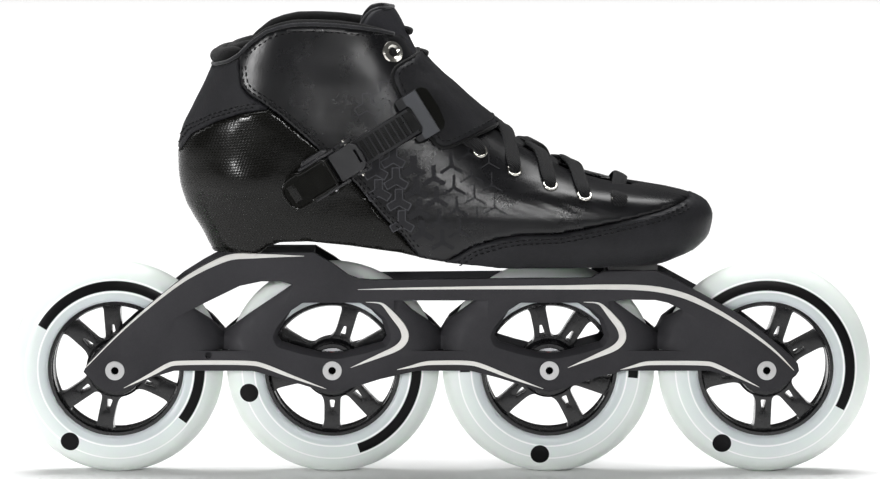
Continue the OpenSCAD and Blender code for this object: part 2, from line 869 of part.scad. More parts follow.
module release_lever() {
  color([0.42, 0.42, 0.44])
  on_strap() difference() {
    union() {
      translate([0, 0, 7])
        linear_extrude(height = 2)
          polygon([[7.4, -7.4], [20, -7.4], [22.6, -5], [23.2, 0], [22.6, 5], [20, 7.4], [7.4, 7.4]]);
      cross_pin(9.8, 6, 2, 14.8);
    }
    cross_pin(9.8, 6, 1.1, 30);
    cross_pin(9.8, 6, 2.4, 4);
    translate([20, -3.6, 6]) cube([1.2, 7.2, 4]);
  }
}

// Torsion spring: turns about the cross direction with one straight end
module torsion_spring(u, n, coil_r, wire_r, width, turns) {
  per_turn = 14;
  count = turns * per_turn;
  path = concat(
    [for (i = [0:count])
      let (a = 90 + 360 * i / per_turn)
      [u + coil_r * cos(a), -width / 2 + width * i / count, n + coil_r * sin(a)]],
    [[u - 2.2, width / 2, n + coil_r - 1.2]]
  );
  tube_along(path, wire_r, 6);
}

module lever_spring() {
  color([0.7, 0.7, 0.72])
  on_strap() torsion_spring(2.5, 6.3, 1.6, 0.3, 3.4, 4);
}

module release_spring() {
  color([0.7, 0.7, 0.72])
  on_strap() torsion_spring(9.8, 6, 1.5, 0.25, 2.6, 4);
}

frame();
axle_bolts();
bearing_spacers();
bearing_inner_rings();
tyre(0);  // tyre_1
tyre(1);  // tyre_2
tyre(2);  // tyre_3
tyre(3);  // tyre_4
hub(0);  // hub_1
hub(1);  // hub_2
hub(2);  // hub_3
hub(3);  // hub_4
outer_rings(0);  // outer_rings_1
outer_rings(1);  // outer_rings_2
outer_rings(2);  // outer_rings_3
outer_rings(3);  // outer_rings_4
shields(0);  // shields_1
shields(1);  // shields_2
shields(2);  // shields_3
shields(3);  // shields_4
ball_cages(0);  // ball_cages_1
ball_cages(1);  // ball_cages_2
ball_cages(2);  // ball_cages_3
ball_cages(3);  // ball_cages_4
mount_bolts();
mount_washers();
rear_mount_plate();
front_mount_block();
shell();
quarter_outer();
quarter_inner();
vamp();
heel_panel();
toe_rand();
ankle_lining();
heel_roll();
insole();
tongue();
lace_eyelets();
ankle_eyelets();
laces();
instep_strap();
strap_anchor_screw();
strap_bracket();
bracket_pin();
ladder_strap();
buckle_base();
buckle_screw();
buckle_lever();
lever_pin();
lever_spring();
release_lever();
release_pin();
release_spring();
guide_pin();
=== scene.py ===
import math
from contextlib import contextmanager

import bpy
import bmesh
import numpy as np
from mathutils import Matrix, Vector, kdtree
from mathutils.geometry import delaunay_2d_cdt

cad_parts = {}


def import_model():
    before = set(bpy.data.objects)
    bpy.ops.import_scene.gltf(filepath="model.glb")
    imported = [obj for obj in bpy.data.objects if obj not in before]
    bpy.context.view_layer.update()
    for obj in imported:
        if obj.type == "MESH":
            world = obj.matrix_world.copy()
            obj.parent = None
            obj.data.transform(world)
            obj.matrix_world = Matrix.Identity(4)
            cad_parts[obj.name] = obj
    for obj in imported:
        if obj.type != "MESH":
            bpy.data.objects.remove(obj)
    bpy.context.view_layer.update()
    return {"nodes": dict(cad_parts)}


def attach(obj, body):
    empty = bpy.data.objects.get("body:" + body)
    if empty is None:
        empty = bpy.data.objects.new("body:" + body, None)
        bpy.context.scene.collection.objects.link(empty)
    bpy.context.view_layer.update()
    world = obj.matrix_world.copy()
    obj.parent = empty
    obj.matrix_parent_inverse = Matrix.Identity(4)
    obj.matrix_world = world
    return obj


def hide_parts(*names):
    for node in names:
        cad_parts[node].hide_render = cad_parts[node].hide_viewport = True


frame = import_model()
MM = 0.001
TAU = 2 * math.pi
AXLE_Z = 55.0
PITCH = 335 / 3
AXLES = [-167.5 + k * PITCH for k in range(4)]
SIDES = (("outer", 1), ("inner", -1))
NEAR_BLACK = (0.0015, 0.0015, 0.0016)

# ------------------------------------------------------------------ materials


class Mat:
    """A node material built step by step; every texture reads the object's own coordinates."""

    def __init__(self, name, **sockets):
        self.material = bpy.data.materials.new(name)
        self.material.use_nodes = True
        self.tree = self.material.node_tree
        self.shader = self.tree.nodes["Principled BSDF"]
        self.set(**sockets)
        self.co = self.node("ShaderNodeTexCoord").outputs["Object"]
        self.normal = None

    def set(self, **sockets):
        for k, v in sockets.items():
            self.shader.inputs[k.replace("_", " ")].default_value = v

    def node(self, kind, props=None, **inputs):
        """A new node; i0, i1 and so on name an input by its number, other words by its name."""
        n = self.tree.nodes.new(kind)
        for k, v in (props or {}).items():
            setattr(n, k, v)
        for k, v in inputs.items():
            s = n.inputs[int(k[1:])] if k[0] == "i" and k[1:].isdigit() else n.inputs[k.replace("_", " ")]
            if hasattr(v, "links"):
                self.tree.links.new(v, s)
            else:
                s.default_value = v
        return n

    def math(self, op, a, b=0.0, c=0.0):
        return self.node("ShaderNodeMath", {"operation": op}, i0=a, i1=b, i2=c).outputs[0]

    def add(self, a, b):
        return self.math("ADD", a, b)

    def less(self, a, b):
        return self.math("SUBTRACT", a, b)

    def times(self, a, b):
        return self.math("MULTIPLY", a, b)

    def length(self, a, b):
        return self.math("SQRT", self.add(self.times(a, a), self.times(b, b)))

    def vmath(self, op, a, b):
        return self.node("ShaderNodeVectorMath", {"operation": op}, i0=a, i1=b).outputs[0]

    def split(self, vec):
        return self.node("ShaderNodeSeparateXYZ", Vector=vec).outputs

    def noise(self, scale, detail, rough=0.5, vec=None, dist=0.0):
        return self.node("ShaderNodeTexNoise", Vector=vec or self.co, Scale=scale, Detail=detail,
                         Roughness=rough, Distortion=dist).outputs["Fac"]

    def voronoi(self, scale, feature="F1"):
        return self.node("ShaderNodeTexVoronoi", {"feature": feature}, Vector=self.co,
                         Scale=scale).outputs["Distance"]

    def mix(self, fac, a, b):
        n = self.node("ShaderNodeMix", {"data_type": "RGBA"}, i0=fac)
        for k, v in ((6, a), (7, b)):
            if hasattr(v, "links"):
                self.tree.links.new(v, n.inputs[k])
            else:
                n.inputs[k].default_value = (*v, 1)
        return n.outputs[2]

    def range(self, v, a, b, c, d):
        return self.node("ShaderNodeMapRange", Value=v, i1=a, i2=b, i3=c, i4=d).outputs[0]

    def link(self, out, socket):
        self.tree.links.new(out, self.shader.inputs[socket])

    def bump(self, height, mm):
        """Raises the surface where height is 1 by mm millimetres."""
        n = self.node("ShaderNodeBump", Height=height, Distance=mm * MM)
        if self.normal:
            self.tree.links.new(self.normal, n.inputs["Normal"])
        self.normal = n.outputs[0]
        self.link(self.normal, "Normal")

    def paint_shade_below(self, low, high):
        """Painted shade: darkens the base colour where |y| falls from high to low millimetres, for the shade
        deep in recesses and gaps.
        """
        y = self.math("ABSOLUTE", self.split(self.co)[1])
        tone = self.shader.inputs["Base Color"].links[0].from_socket
        self.link(self.mix(self.range(self.times(y, 1000), low, high, 0, 1), NEAR_BLACK, tone), "Base Color")


def leather(name, dark, light, rough, grain=900, grain_mm=0.055, crease=0.14, spec=0.15):
    """Leather with cells about 1 / grain metres wide and grain_mm high, and creases crease mm high."""
    m = Mat(name, Specular_IOR_Level=spec)
    fine = m.noise(grain * 0.6, 3, 0.6)
    tone = m.add(m.noise(26, 4, 0.6), m.times(fine, 0.35))
    m.link(m.mix(m.range(tone, 0.45, 0.95, 0, 1), dark, light), "Base Color")
    m.bump(m.range(m.voronoi(grain, "DISTANCE_TO_EDGE"), 0.0, 0.22, 0.0, 1.0), grain_mm)
    m.bump(m.noise(150, 4, 0.62, dist=0.6), crease)
    worn = m.add(m.noise(60, 3), m.times(fine, 0.4))
    m.link(m.range(worn, 0.4, 1.0, *rough), "Roughness")
    return m.material


def microfibre(name, dark, light, sheen=0.1):
    m = Mat(name, Sheen_Weight=sheen, Sheen_Roughness=0.4, Specular_IOR_Level=0.12)
    nap = m.noise(420, 5, 0.75)
    m.link(m.mix(m.range(m.add(m.noise(35, 3), nap), 0.7, 1.3, 0, 1), dark, light), "Base Color")
    m.bump(nap, 0.35)
    m.bump(m.voronoi(1400), 0.12)
    m.link(m.range(m.noise(90, 3), 0.3, 0.7, 0.77, 0.93), "Roughness")
    return m.material


def metal(name, color, rough, brushed=None, spread=0.1, painted_shade_below=None):
    """Bare metal, its grain stretched by brushed; rough varies by spread."""
    m = Mat(name, Metallic=1.0)
    vec = m.vmath("MULTIPLY", m.co, brushed) if brushed else m.co
    grain = m.noise(700, 4, 0.65, vec=vec)
    m.link(m.mix(m.noise(60, 3, vec=vec), [c * 0.86 for c in color], color), "Base Color")
    m.link(m.range(grain, 0.25, 0.75, rough - spread, rough + spread), "Roughness")
    m.bump(grain, 0.02)
    # painted shade: where asked, the base colour goes near black below a depth in |y|, for the shade in
    # recesses
    if painted_shade_below:
        m.paint_shade_below(*painted_shade_below)
    return m.material


def plastic(name, dark, light, rough, grain=2600, grain_mm=0.04, coat=0.0, spec=0.5, painted_shade_below=None):
    m = Mat(name, Specular_IOR_Level=spec)
    m.link(m.mix(m.noise(45, 4), dark, light), "Base Color")
    m.bump(m.noise(grain, 2, 0.5), grain_mm)
    m.link(m.range(m.noise(120, 4, 0.7), 0.3, 0.7, rough - 0.07, rough + 0.09), "Roughness")
    if coat:
        m.set(Coat_Weight=coat, Coat_Roughness=0.06)
    # painted shade: where asked, the base colour goes near black below a depth in |y|, for the shade in gaps
    if painted_shade_below:
        m.paint_shade_below(*painted_shade_below)
    return m.material


def anodised(name, dark, light):
    """Blasted and anodised aluminium: fine sparkle, slightly worn tone."""
    m = Mat(name, Metallic=0.25, Specular_IOR_Level=0.25)
    spark = m.noise(2600, 2, 0.5)
    tone = m.add(m.noise(22, 3), m.times(spark, 0.7))
    m.link(m.mix(m.range(tone, 0.55, 1.15, 0, 1), dark, light), "Base Color")
    m.bump(spark, 0.05)
    m.link(m.range(m.noise(240, 4, 0.7), 0.3, 0.7, 0.5, 0.64), "Roughness")
    return m.material


def weave_shell(name):
    """Glossy clear coat over a fine black plain weave."""
    m = Mat(name, Coat_Weight=0.30, Coat_Roughness=0.14, Specular_IOR_Level=0.08)
    mapping = m.node("ShaderNodeMapping", Vector=m.co, Rotation=(0.0, math.radians(38), 0.0))
    turned = m.split(mapping.outputs[0])
    pitch = 2300.0
    warp = m.math("SINE", m.times(turned[0], pitch))
    weft = m.math("SINE", m.times(turned[2], pitch * 1.6))
    tow = m.range(m.times(warp, weft), -0.5, 0.5, 0, 1)
    shade = m.times(tow, m.noise(55, 4, 0.7))
    m.link(m.mix(shade, (0.0015, 0.0015, 0.0012), (0.007, 0.0066, 0.0052)), "Base Color")
    m.link(m.range(tow, 0, 1, 0.42, 0.2), "Roughness")
    m.bump(tow, 0.05)
    m.bump(m.noise(38, 4, 0.6), 0.25)
    ripple = m.add(m.noise(45, 3, 0.6), m.times(tow, 0.04))
    coat = m.node("ShaderNodeBump", Height=ripple, Distance=0.0006, Strength=0.5)
    m.link(coat.outputs[0], "Coat Normal")
    return m.material


def urethane(name, cx, start, dot):
    """Milky cast tyre at wheel centre cx with printed rings; angles in degrees about the axle."""
    m = Mat(name, Roughness=0.3, Subsurface_Weight=0.55, Subsurface_Radius=(0.5, 0.6, 0.5),
            Subsurface_Scale=0.012, Specular_IOR_Level=0.4)
    x, _, z = m.split(m.vmath("SUBTRACT", m.co, (cx * MM, 0, AXLE_Z * MM)))
    r = m.times(m.length(x, z), 1000)

    def band(lo, hi, soft=0.12):
        return m.times(m.range(r, lo - soft, lo + soft, 0, 1), m.range(r, hi - soft, hi + soft, 1, 0))

    cloud = m.noise(30, 4, 0.6)
    body = m.mix(cloud, (0.72, 0.77, 0.74), (0.82, 0.86, 0.82))
    body = m.mix(m.range(r, 36, 54, 0, 1), m.mix(cloud, (0.60, 0.66, 0.67), (0.70, 0.75, 0.75)), body)
    degrees = m.times(m.math("ARCTAN2", z, x), 180 / math.pi)
    arc = m.math("WRAP", m.less(degrees, start), 360.0, 0.0)
    printed = m.times(band(40.8, 45.9), m.range(arc, 187.7, 188.3, 1, 0))
    body = m.mix(printed, body, m.mix(m.noise(300, 3), NEAR_BLACK, (0.004, 0.004, 0.0045)))
    body = m.mix(m.times(band(35.6, 39.4), 0.28), body, (0.30, 0.34, 0.36))
    white = m.math("MAXIMUM", band(46.2, 46.9, 0.08), band(39.8, 40.5, 0.08))
    body = m.mix(white, body, (0.93, 0.94, 0.94))
    dx = m.less(x, 0.0447 * math.cos(math.radians(dot)))
    dz = m.less(z, 0.0447 * math.sin(math.radians(dot)))
    spot = m.range(m.length(dx, dz), 0.00475, 0.0049, 1, 0)
    m.link(m.mix(spot, body, (0.004, 0.004, 0.0045)), "Base Color")
    ink = m.math("MAXIMUM", spot, printed)
    m.link(m.range(ink, 0, 1, 0.55, 0.0), "Subsurface Weight")
    m.link(m.range(ink, 0, 1, 0.4, 0.12), "Specular IOR Level")
    m.link(m.range(m.noise(60, 2), 0.3, 0.7, 0.3, 0.38), "Roughness")
    return m.material


def lace_weave(name):
    m = Mat(name, Sheen_Weight=0.06, Specular_IOR_Level=0.15)
    wave = m.node("ShaderNodeTexWave", {"wave_type": "BANDS", "bands_direction": "DIAGONAL"}, Vector=m.co,
                  Scale=380.0, Distortion=2.0, Detail=2.0).outputs["Fac"]
    nap = m.noise(1300, 4, 0.7)
    yarn = m.add(m.times(wave, 0.6), m.times(nap, 0.8))
    m.link(m.mix(m.range(yarn, 0.3, 0.9, 0, 1), (0.002, 0.002, 0.002), (0.013, 0.013, 0.014)), "Base Color")
    m.bump(yarn, 0.4)
    m.link(m.range(nap, 0.3, 0.7, 0.75, 0.95), "Roughness")
    return m.material


MATS = {
    "upper": leather("upper_leather", (0.0035, 0.0035, 0.0040), (0.0085, 0.0085, 0.0098), (0.25, 0.32),
                     grain=1500, grain_mm=0.008, crease=0.030, spec=0.34),
    "heel": leather("heel_leather", (0.0110, 0.0110, 0.0125), (0.0230, 0.0230, 0.0260), (0.38, 0.55),
                    grain=1100, grain_mm=0.07),
    "rand": leather("rand_leather", (0.0090, 0.0090, 0.0100), (0.0200, 0.0200, 0.0225), (0.38, 0.55)),
    "cuff": leather("cuff_leather", (0.0085, 0.0085, 0.0095), (0.0180, 0.0180, 0.0200), (0.36, 0.52),
                    grain=800),
    "tongue": leather("tongue_leather", (0.0130, 0.0130, 0.0150), (0.0260, 0.0260, 0.0300), (0.45, 0.6),
                      grain=1300, grain_mm=0.06),
    "pattern": leather("pattern_film", (0.0130, 0.0130, 0.0145), (0.0220, 0.0220, 0.0245), (0.60, 0.72),
                       grain=1400, grain_mm=0.05, crease=0.1),
    "pattern_line": leather("pattern_line", (0.0380, 0.0380, 0.0420), (0.0560, 0.0560, 0.0620), (0.60, 0.72),
                            grain=1400, grain_mm=0.05, crease=0.1),
    "lining": microfibre("lining_microfibre", (0.0050, 0.0050, 0.0050), (0.0130, 0.0130, 0.0135)),
    "binding": microfibre("binding_tape", (0.0150, 0.0150, 0.0165), (0.0350, 0.0350, 0.0380), sheen=0.3),
    "thread": microfibre("thread", (0.0030, 0.0030, 0.0035), (0.0100, 0.0100, 0.0110)),
    "insole": microfibre("insole_knit", (0.015, 0.015, 0.016), (0.035, 0.035, 0.038)),
    "lace": lace_weave("lace_weave"),
    "shell": weave_shell("shell_weave"),
    "frame": anodised("anodised_frame", (0.020, 0.0195, 0.022), (0.036, 0.035, 0.039)),
    "bright": metal("bright_edge", (0.78, 0.77, 0.74), 0.4, brushed=(1, 1, 6), spread=0.08),
    "silver": metal("silver_screw", (0.60, 0.60, 0.60), 0.34),
    # painted shade inside the bolt heads' recesses, near black below |y| 15.6 to 16.6 mm
    "bolt": metal("bolt_silver", (0.60, 0.60, 0.60), 0.34, painted_shade_below=(15.6, 16.6)),
    "steel": metal("ground_steel", (0.52, 0.52, 0.54), 0.25),
    "black_steel": metal("black_steel", (0.05, 0.05, 0.05), 0.4),
    "block": metal("mount_alloy", (0.07, 0.07, 0.07), 0.38),
    "chrome": metal("nickel", (0.80, 0.78, 0.72), 0.16, spread=0.06),
    "cage": metal("cage_steel", (0.4, 0.36, 0.27), 0.35),
    "hub": plastic("hub_nylon", (0.004, 0.004, 0.0045), (0.010, 0.010, 0.011), 0.24, coat=0.3, spec=0.35),
    "lever": plastic("lever_gloss", (0.003, 0.003, 0.0025), (0.006, 0.006, 0.005), 0.14, coat=0.06,
                     spec=0.22),
    "buckle": plastic("buckle_nylon", (0.009, 0.009, 0.010), (0.018, 0.018, 0.020), 0.36,
                      grain=3200, grain_mm=0.06),
    # painted shade in the gaps between the ladder's teeth, near black below |y| 45.1 to 45.8 mm
    "ladder": plastic("ladder_nylon", (0.010, 0.010, 0.0105), (0.020, 0.020, 0.022), 0.34, spec=0.3,
                      painted_shade_below=(45.1, 45.8)),
    "bracket": plastic("bracket_coat", (0.030, 0.032, 0.037), (0.050, 0.053, 0.060), 0.36,
                       grain=3600, grain_mm=0.08),
    "shield": plastic("seal_rubber", (0.16, 0.012, 0.01), (0.24, 0.02, 0.016), 0.5),
}

# ------------------------------------------------------------------ mesh tools


def obj(name, verts, faces, mat, smooth=True):
    """A mesh object from points in mm and faces, in a named material."""
    me = bpy.data.meshes.new(name)
    points = [tuple(float(c) * MM for c in v) for v in verts]
    me.from_pydata(points, [], [tuple(int(i) for i in f) for f in faces])
    me.validate()
    o = bpy.data.objects.new(name, me)
    bpy.context.scene.collection.objects.link(o)
    if mat:
        me.materials.append(MATS[mat])
    if smooth:
        me.shade_smooth()
    return o


def paint(o, material):
    o.data.materials.clear()
    o.data.materials.append(material)


@contextmanager
def editing(o):
    """The object's mesh as a bmesh, written back at the end."""
    bm = bmesh.new()
    bm.from_mesh(o.data)
    yield bm
    bm.to_mesh(o.data)
    bm.free()


def tidy(o):
    """Welds the mesh and turns its faces outwards."""
    with editing(o) as bm:
        bmesh.ops.remove_doubles(bm, verts=bm.verts, dist=2e-6)
        bmesh.ops.recalc_face_normals(bm, faces=bm.faces)
    return o


def mod(o, kind, **props):
    m = o.modifiers.new(kind.lower(), kind)
    for k, v in props.items():
        setattr(m, k, v)


def bevel(o, width, angle, segments=3, **props):
    """Rounds the edges sharper than angle degrees by width millimetres."""
    mod(o, "BEVEL", width=width * MM, segments=segments, limit_method="ANGLE",
        angle_limit=math.radians(angle), **props)


def keep(o, body="root", slot=None, replaces=()):
    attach(o, body)
    if replaces:
        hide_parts(*replaces)
    return o


def bake(o):
    """Applies the modifiers."""
    dg = bpy.context.evaluated_depsgraph_get()
    me = bpy.data.meshes.new_from_object(o.evaluated_get(dg))
    o.modifiers.clear()
    old = o.data
    o.data = me
    bpy.data.meshes.remove(old)
    return o


def unit(v):
    v = np.asarray(v, float)
    return v / np.maximum(np.linalg.norm(v, axis=-1, keepdims=True), 1e-12)


def along(path):
    """Distance along a path at each of its points."""
    return np.concatenate([[0], np.cumsum(np.linalg.norm(np.diff(path, axis=0), axis=1))])


def columns_at(q, s, path):
    """A path's columns read at distances q, where its points lie at distances s."""
    return np.stack([np.interp(q, s, path[:, k]) for k in range(path.shape[1])], 1)


def resample(path, step):
    """The path again in even steps of about step."""
    path = np.asarray(path, float)
    s = along(path)
    n = max(2, int(round(s[-1] / step)) + 1)
    return columns_at(np.linspace(0, s[-1], n), s, path)


def resample_loop(ring, step):
    return resample(np.concatenate([ring, ring[:1]]), step)[:-1]


def smooth_path(path, step, rounds):
    """Chaikin corner cutting, then even steps."""
    p = np.asarray(path, float)
    for _ in range(rounds):
        q = [p[0]]
        for a, b in zip(p[:-1], p[1:]):
            q += [0.75 * a + 0.25 * b, 0.25 * a + 0.75 * b]
        p = np.array(q + [p[-1]])
    return resample(p, step)


def grid_faces(rows, cols, round_rows=False, round_cols=False):
    """Faces of a grid of points, rows by cols, closed over its last row or column where asked."""
    return [(i * cols + j, i * cols + (j + 1) % cols,
             (i + 1) % rows * cols + (j + 1) % cols, (i + 1) % rows * cols + j)
            for i in range(rows if round_rows else rows - 1)
            for j in range(cols if round_cols else cols - 1)]


def sweep(path, section, ups, closed=False):
    """Verts and faces of a section (across, up) swept along path, with one up direction or one per point."""
    path, section = np.asarray(path, float), np.asarray(section, float)
    n, m = len(path), section.shape[-2]
    d = unit(np.roll(path, -1, 0) - np.roll(path, 1, 0) if closed else np.gradient(path, axis=0))
    side = unit(np.cross(d, ups))
    up = np.cross(side, d)
    sec = np.broadcast_to(section, (n, m, 2))
    v = path[:, None] + sec[..., :1] * side[:, None] + sec[..., 1:] * up[:, None]
    f = grid_faces(n, m, closed, True)
    if not closed:
        f += [tuple(range(m))[::-1], tuple((n - 1) * m + k for k in range(m))]
    return v.reshape(-1, 3), f


def oval(w, h, n, p=1.0):
    a = np.arange(n) * TAU / n
    c, s = np.cos(a), np.sin(a)
    return np.stack([w / 2 * np.sign(c) * np.abs(c) ** p, h / 2 * np.sign(s) * np.abs(s) ** p], 1)


def join(parts):
    """Joins (verts, faces) pairs."""
    vs, fs, k = [], [], 0
    for v, f in parts:
        vs.append(np.asarray(v))
        fs += [tuple(i + k for i in q) for q in f]
        k += len(v)
    return np.concatenate(vs), fs


def rounded(poly, radii, n):
    """Rounds each corner of a 2D polygon with n points."""
    poly = [np.array(p, float) for p in poly]
    out = []
    for i, p in enumerate(poly):
        r = radii[i] if hasattr(radii, "__len__") else radii
        a, b = poly[i - 1] - p, poly[(i + 1) % len(poly)] - p
        la, lb = np.linalg.norm(a), np.linalg.norm(b)
        a, b = a / la, b / lb
        half = math.acos(max(-1, min(1, float(a @ b)))) / 2
        t = min(r / max(math.tan(half), 1e-6), 0.48 * la, 0.48 * lb)
        s, e = p + a * t, p + b * t
        out += [(1 - k) ** 2 * s + 2 * k * (1 - k) * p + k * k * e for k in np.linspace(0, 1, n)]
    return np.array(out)


def inside(poly, q):
    poly, q = np.asarray(poly), np.asarray(q)
    hit = np.zeros(len(q), bool)
    x, y = q[:, 0], q[:, 1]
    for a, b in zip(poly, np.roll(poly, -1, 0)):
        cross = (a[1] > y) != (b[1] > y)
        xi = a[0] + (y - a[1]) * (b[0] - a[0]) / (b[1] - a[1] if b[1] != a[1] else 1e-9)
        hit ^= cross & (x < xi)
    return hit


def triangulate(outer, holes=(), extra=()):
    """(points, triangles) of a 2D region with holes."""
    pts, edges = [], []
    for loop in [outer, *holes]:
        k = len(pts)
        n = len(loop)
        pts += [tuple(p) for p in loop]
        edges += [(k + i, k + (i + 1) % n) for i in range(n)]
    pts += [tuple(p) for p in extra]
    v, _, f, *_ = delaunay_2d_cdt([Vector(p) for p in pts], edges, [], 0, 1e-7)
    v = np.array([tuple(p) for p in v])
    f = np.array([tuple(q) for q in f])
    c = v[f].mean(1)
    ok = inside(outer, c)
    for h in holes:
        ok &= ~inside(h, c)
    return v, f[ok]


def plate(outer, holes, y0, y1):
    """Verts and faces of a flat plate in XZ between y0 and y1."""
    v, f = triangulate(outer, holes)
    n = len(v)
    a = np.stack([v[:, 0], np.full(n, y0), v[:, 1]], 1)
    b = np.stack([v[:, 0], np.full(n, y1), v[:, 1]], 1)
    faces = [tuple(q) for q in f] + [tuple(n + i for i in q[::-1]) for q in f]
    edges = dict.fromkeys((q[i], q[(i + 1) % 3]) for q in f for i in range(3))
    faces += [(i, n + i, n + j, j)[::-1] for i, j in edges if (j, i) not in edges]
    return np.concatenate([a, b]), faces


def lathe(profile, cx, n):
    """Verts and faces of a closed (r, y) profile turned about the axle at cx."""
    p = np.asarray(profile, float)
    a = np.arange(n)[:, None] * TAU / n
    y = np.broadcast_to(p[:, 1], (n, len(p)))
    v = np.stack([cx + p[:, 0] * np.cos(a), y, AXLE_Z + p[:, 0] * np.sin(a)], -1)
    return v.reshape(-1, 3), grid_faces(n, len(p), True, True)


def nearest(points, to):
    """Distance from each point to the nearest one in to, in 2D or 3D."""
    points, to = (np.pad(p, ((0, 0), (0, 3 - p.shape[1]))) for p in (points, to))
    tree = kdtree.KDTree(len(to))
    for k, q in enumerate(to):
        tree.insert(q, k)
    tree.balance()
    return np.array([tree.find(q)[2] for q in points])


def sharpen(o, angle):
    """Smooth shading, apart from the edges sharper than angle degrees."""
    o.data.shade_smooth()
    o.data.set_sharp_from_angle(angle=math.radians(angle))


def sheet(name, rows, mat, thick, offset):
    """A sheet through rows of points, thick millimetres thick."""
    o = tidy(obj(name, rows.reshape(-1, 3), grid_faces(*rows.shape[:2]), mat))
    mod(o, "SOLIDIFY", thickness=thick * MM, offset=offset)
    return o


def tube(name, path, section, ups, mat, slot, body="root", closed=False):
    return keep(tidy(obj(name, *sweep(path, section, ups, closed), mat)), body, slot)


# ------------------------------------------------------------------ boot surface


class Table:
    """Smooth monotone curve through (x, y) pairs."""

    def __init__(self, pairs):
        p = np.array(pairs, float)
        self.x, self.y = p[:, 0], p[:, 1]
        h = np.diff(self.x)
        d = np.diff(self.y) / h
        m = np.zeros(len(self.x))
        m[0], m[-1] = d[0], d[-1]
        for i in range(1, len(m) - 1):
            if d[i - 1] * d[i] > 0:
                a, b = 2 * h[i] + h[i - 1], h[i] + 2 * h[i - 1]
                m[i] = (a + b) / (a / d[i - 1] + b / d[i])
        self.m = m

    def __call__(self, q):
        q = np.clip(q, self.x[0], self.x[-1])
        i = np.clip(np.searchsorted(self.x, q) - 1, 0, len(self.x) - 2)
        h = self.x[i + 1] - self.x[i]
        t = (q - self.x[i]) / h
        return ((2 * t**3 - 3 * t**2 + 1) * self.y[i] + (t**3 - 2 * t**2 + t) * h * self.m[i]
                + (3 * t**2 - 2 * t**3) * self.y[i + 1] + (t**3 - t**2) * h * self.m[i + 1])


BACK = Table([(100, -100), (108.5, -108), (112, -114), (118, -118.5), (126, -122.5), (134, -127.5),
              (142, -131.5), (152, -134), (166, -135), (178, -133), (191, -127), (203, -121), (214, -116),
              (228, -110), (252, -102)])
FRONT = Table([(100, 92), (108.5, 104), (112, 118), (118, 130.5), (126, 137.5), (134, 139), (140, 136.5),
               (144, 130), (146.5, 121), (148.5, 110), (151, 95), (154, 82), (158, 68), (163, 56.5),
               (169, 45), (177, 31.5), (187, 18), (197, 6), (208, -6), (219, -15), (230, -21.5), (241, -27),
               (252, -32)])
HEEL = Table([(100, 22), (108.5, 27), (112, 29.5), (118, 32.5), (126, 35), (142, 38), (158, 40.5),
              (175, 42.5), (187, 42), (208, 39.5), (228, 38), (252, 38)])
FORE = Table([(100, 34), (108.5, 40), (112, 44), (118, 48), (126, 50.5), (134, 50.5), (142, 48), (148.5, 45),
              (158, 42.5), (175, 39.8), (197, 37.6), (219, 36), (252, 34)])
HPOW = Table([(100, 0.85), (150, 0.8), (252, 0.75)])
FPOW = Table([(100, 0.85), (150, 0.8), (175, 0.68), (200, 0.52), (252, 0.48)])

Z0, Z1, DZ, NS = 100.0, 252.0, 0.5, 720
ZS = np.arange(Z0, Z1 + DZ / 2, DZ)


def boot_grid():
    """Boot surface: one row per height, each spread evenly round the outline.
    s runs 0 at the front, 0.25 near the outer side, 0.5 at the back."""
    rows = []
    ease = (0.5 * (1 - np.cos(np.linspace(0, math.pi, 240)))) ** 2
    a = np.unique(np.concatenate([ease * math.pi / 2, math.pi - ease * math.pi / 2,
                                  math.pi / 2 - ease * math.pi / 4, math.pi / 2 + ease * math.pi / 4]))
    for z in ZS:
        xb, xf = BACK(z), FRONT(z)
        b = 0.5 + 0.5 * np.cos(a)
        half = (1 - b) * HEEL(z) + b * FORE(z)
        p = np.where(np.cos(a) < 0, HPOW(z), FPOW(z))
        c, s = np.cos(a), np.sin(a)
        x = (xb + xf) / 2 + (xf - xb) / 2 * np.sign(c) * np.abs(c) ** p
        y = -half * np.abs(s) ** p
        y[0] = y[-1] = 0
        d = np.concatenate([[0], np.cumsum(np.hypot(np.diff(x), np.diff(y)))])
        q = np.linspace(0, d[-1], NS // 2 + 1)
        x, y = np.interp(q, d, x), np.interp(q, d, y)
        rows.append(np.stack([np.concatenate([x, x[-2::-1]]), np.concatenate([y, -y[-2::-1]]),
                              np.full(NS + 1, z)], 1))
    g = np.array(rows)
    ds = np.roll(g[:, :-1], -1, 1) - np.roll(g[:, :-1], 1, 1)
    dz = np.gradient(g[:, :-1], axis=0)
    n = unit(np.cross(ds, dz))
    for _ in range(6):
        n = unit(n + np.roll(n, 1, 1) + np.roll(n, -1, 1))
        n[1:-1] = unit(n[:-2] + 2 * n[1:-1] + n[2:])
    if n[60, NS // 4, 1] > 0:
        n = -n
    return g, np.concatenate([n, n[:, :1]], 1)


GRID, NORM = boot_grid()


def skin(s, z, off=0.0):
    """Point on the boot surface, moved outwards by off."""
    s, z, off = np.broadcast_arrays(np.asarray(s, float), np.asarray(z, float), np.asarray(off, float))
    u = (s % 1.0) * NS
    w = np.clip((z - Z0) / DZ, 0, len(ZS) - 1.001)
    i, j = u.astype(int) % NS, w.astype(int)
    fu, fw = (u - u.astype(int))[..., None], (w - j)[..., None]

    def pick(g):
        return ((g[j, i] * (1 - fu) + g[j, i + 1] * fu) * (1 - fw)
                + (g[j + 1, i] * (1 - fu) + g[j + 1, i + 1] * fu) * fw)

    return pick(GRID) + off[..., None] * unit(pick(NORM))


def normal(s, z):
    return unit(skin(s, z, 1.0) - skin(s, z))


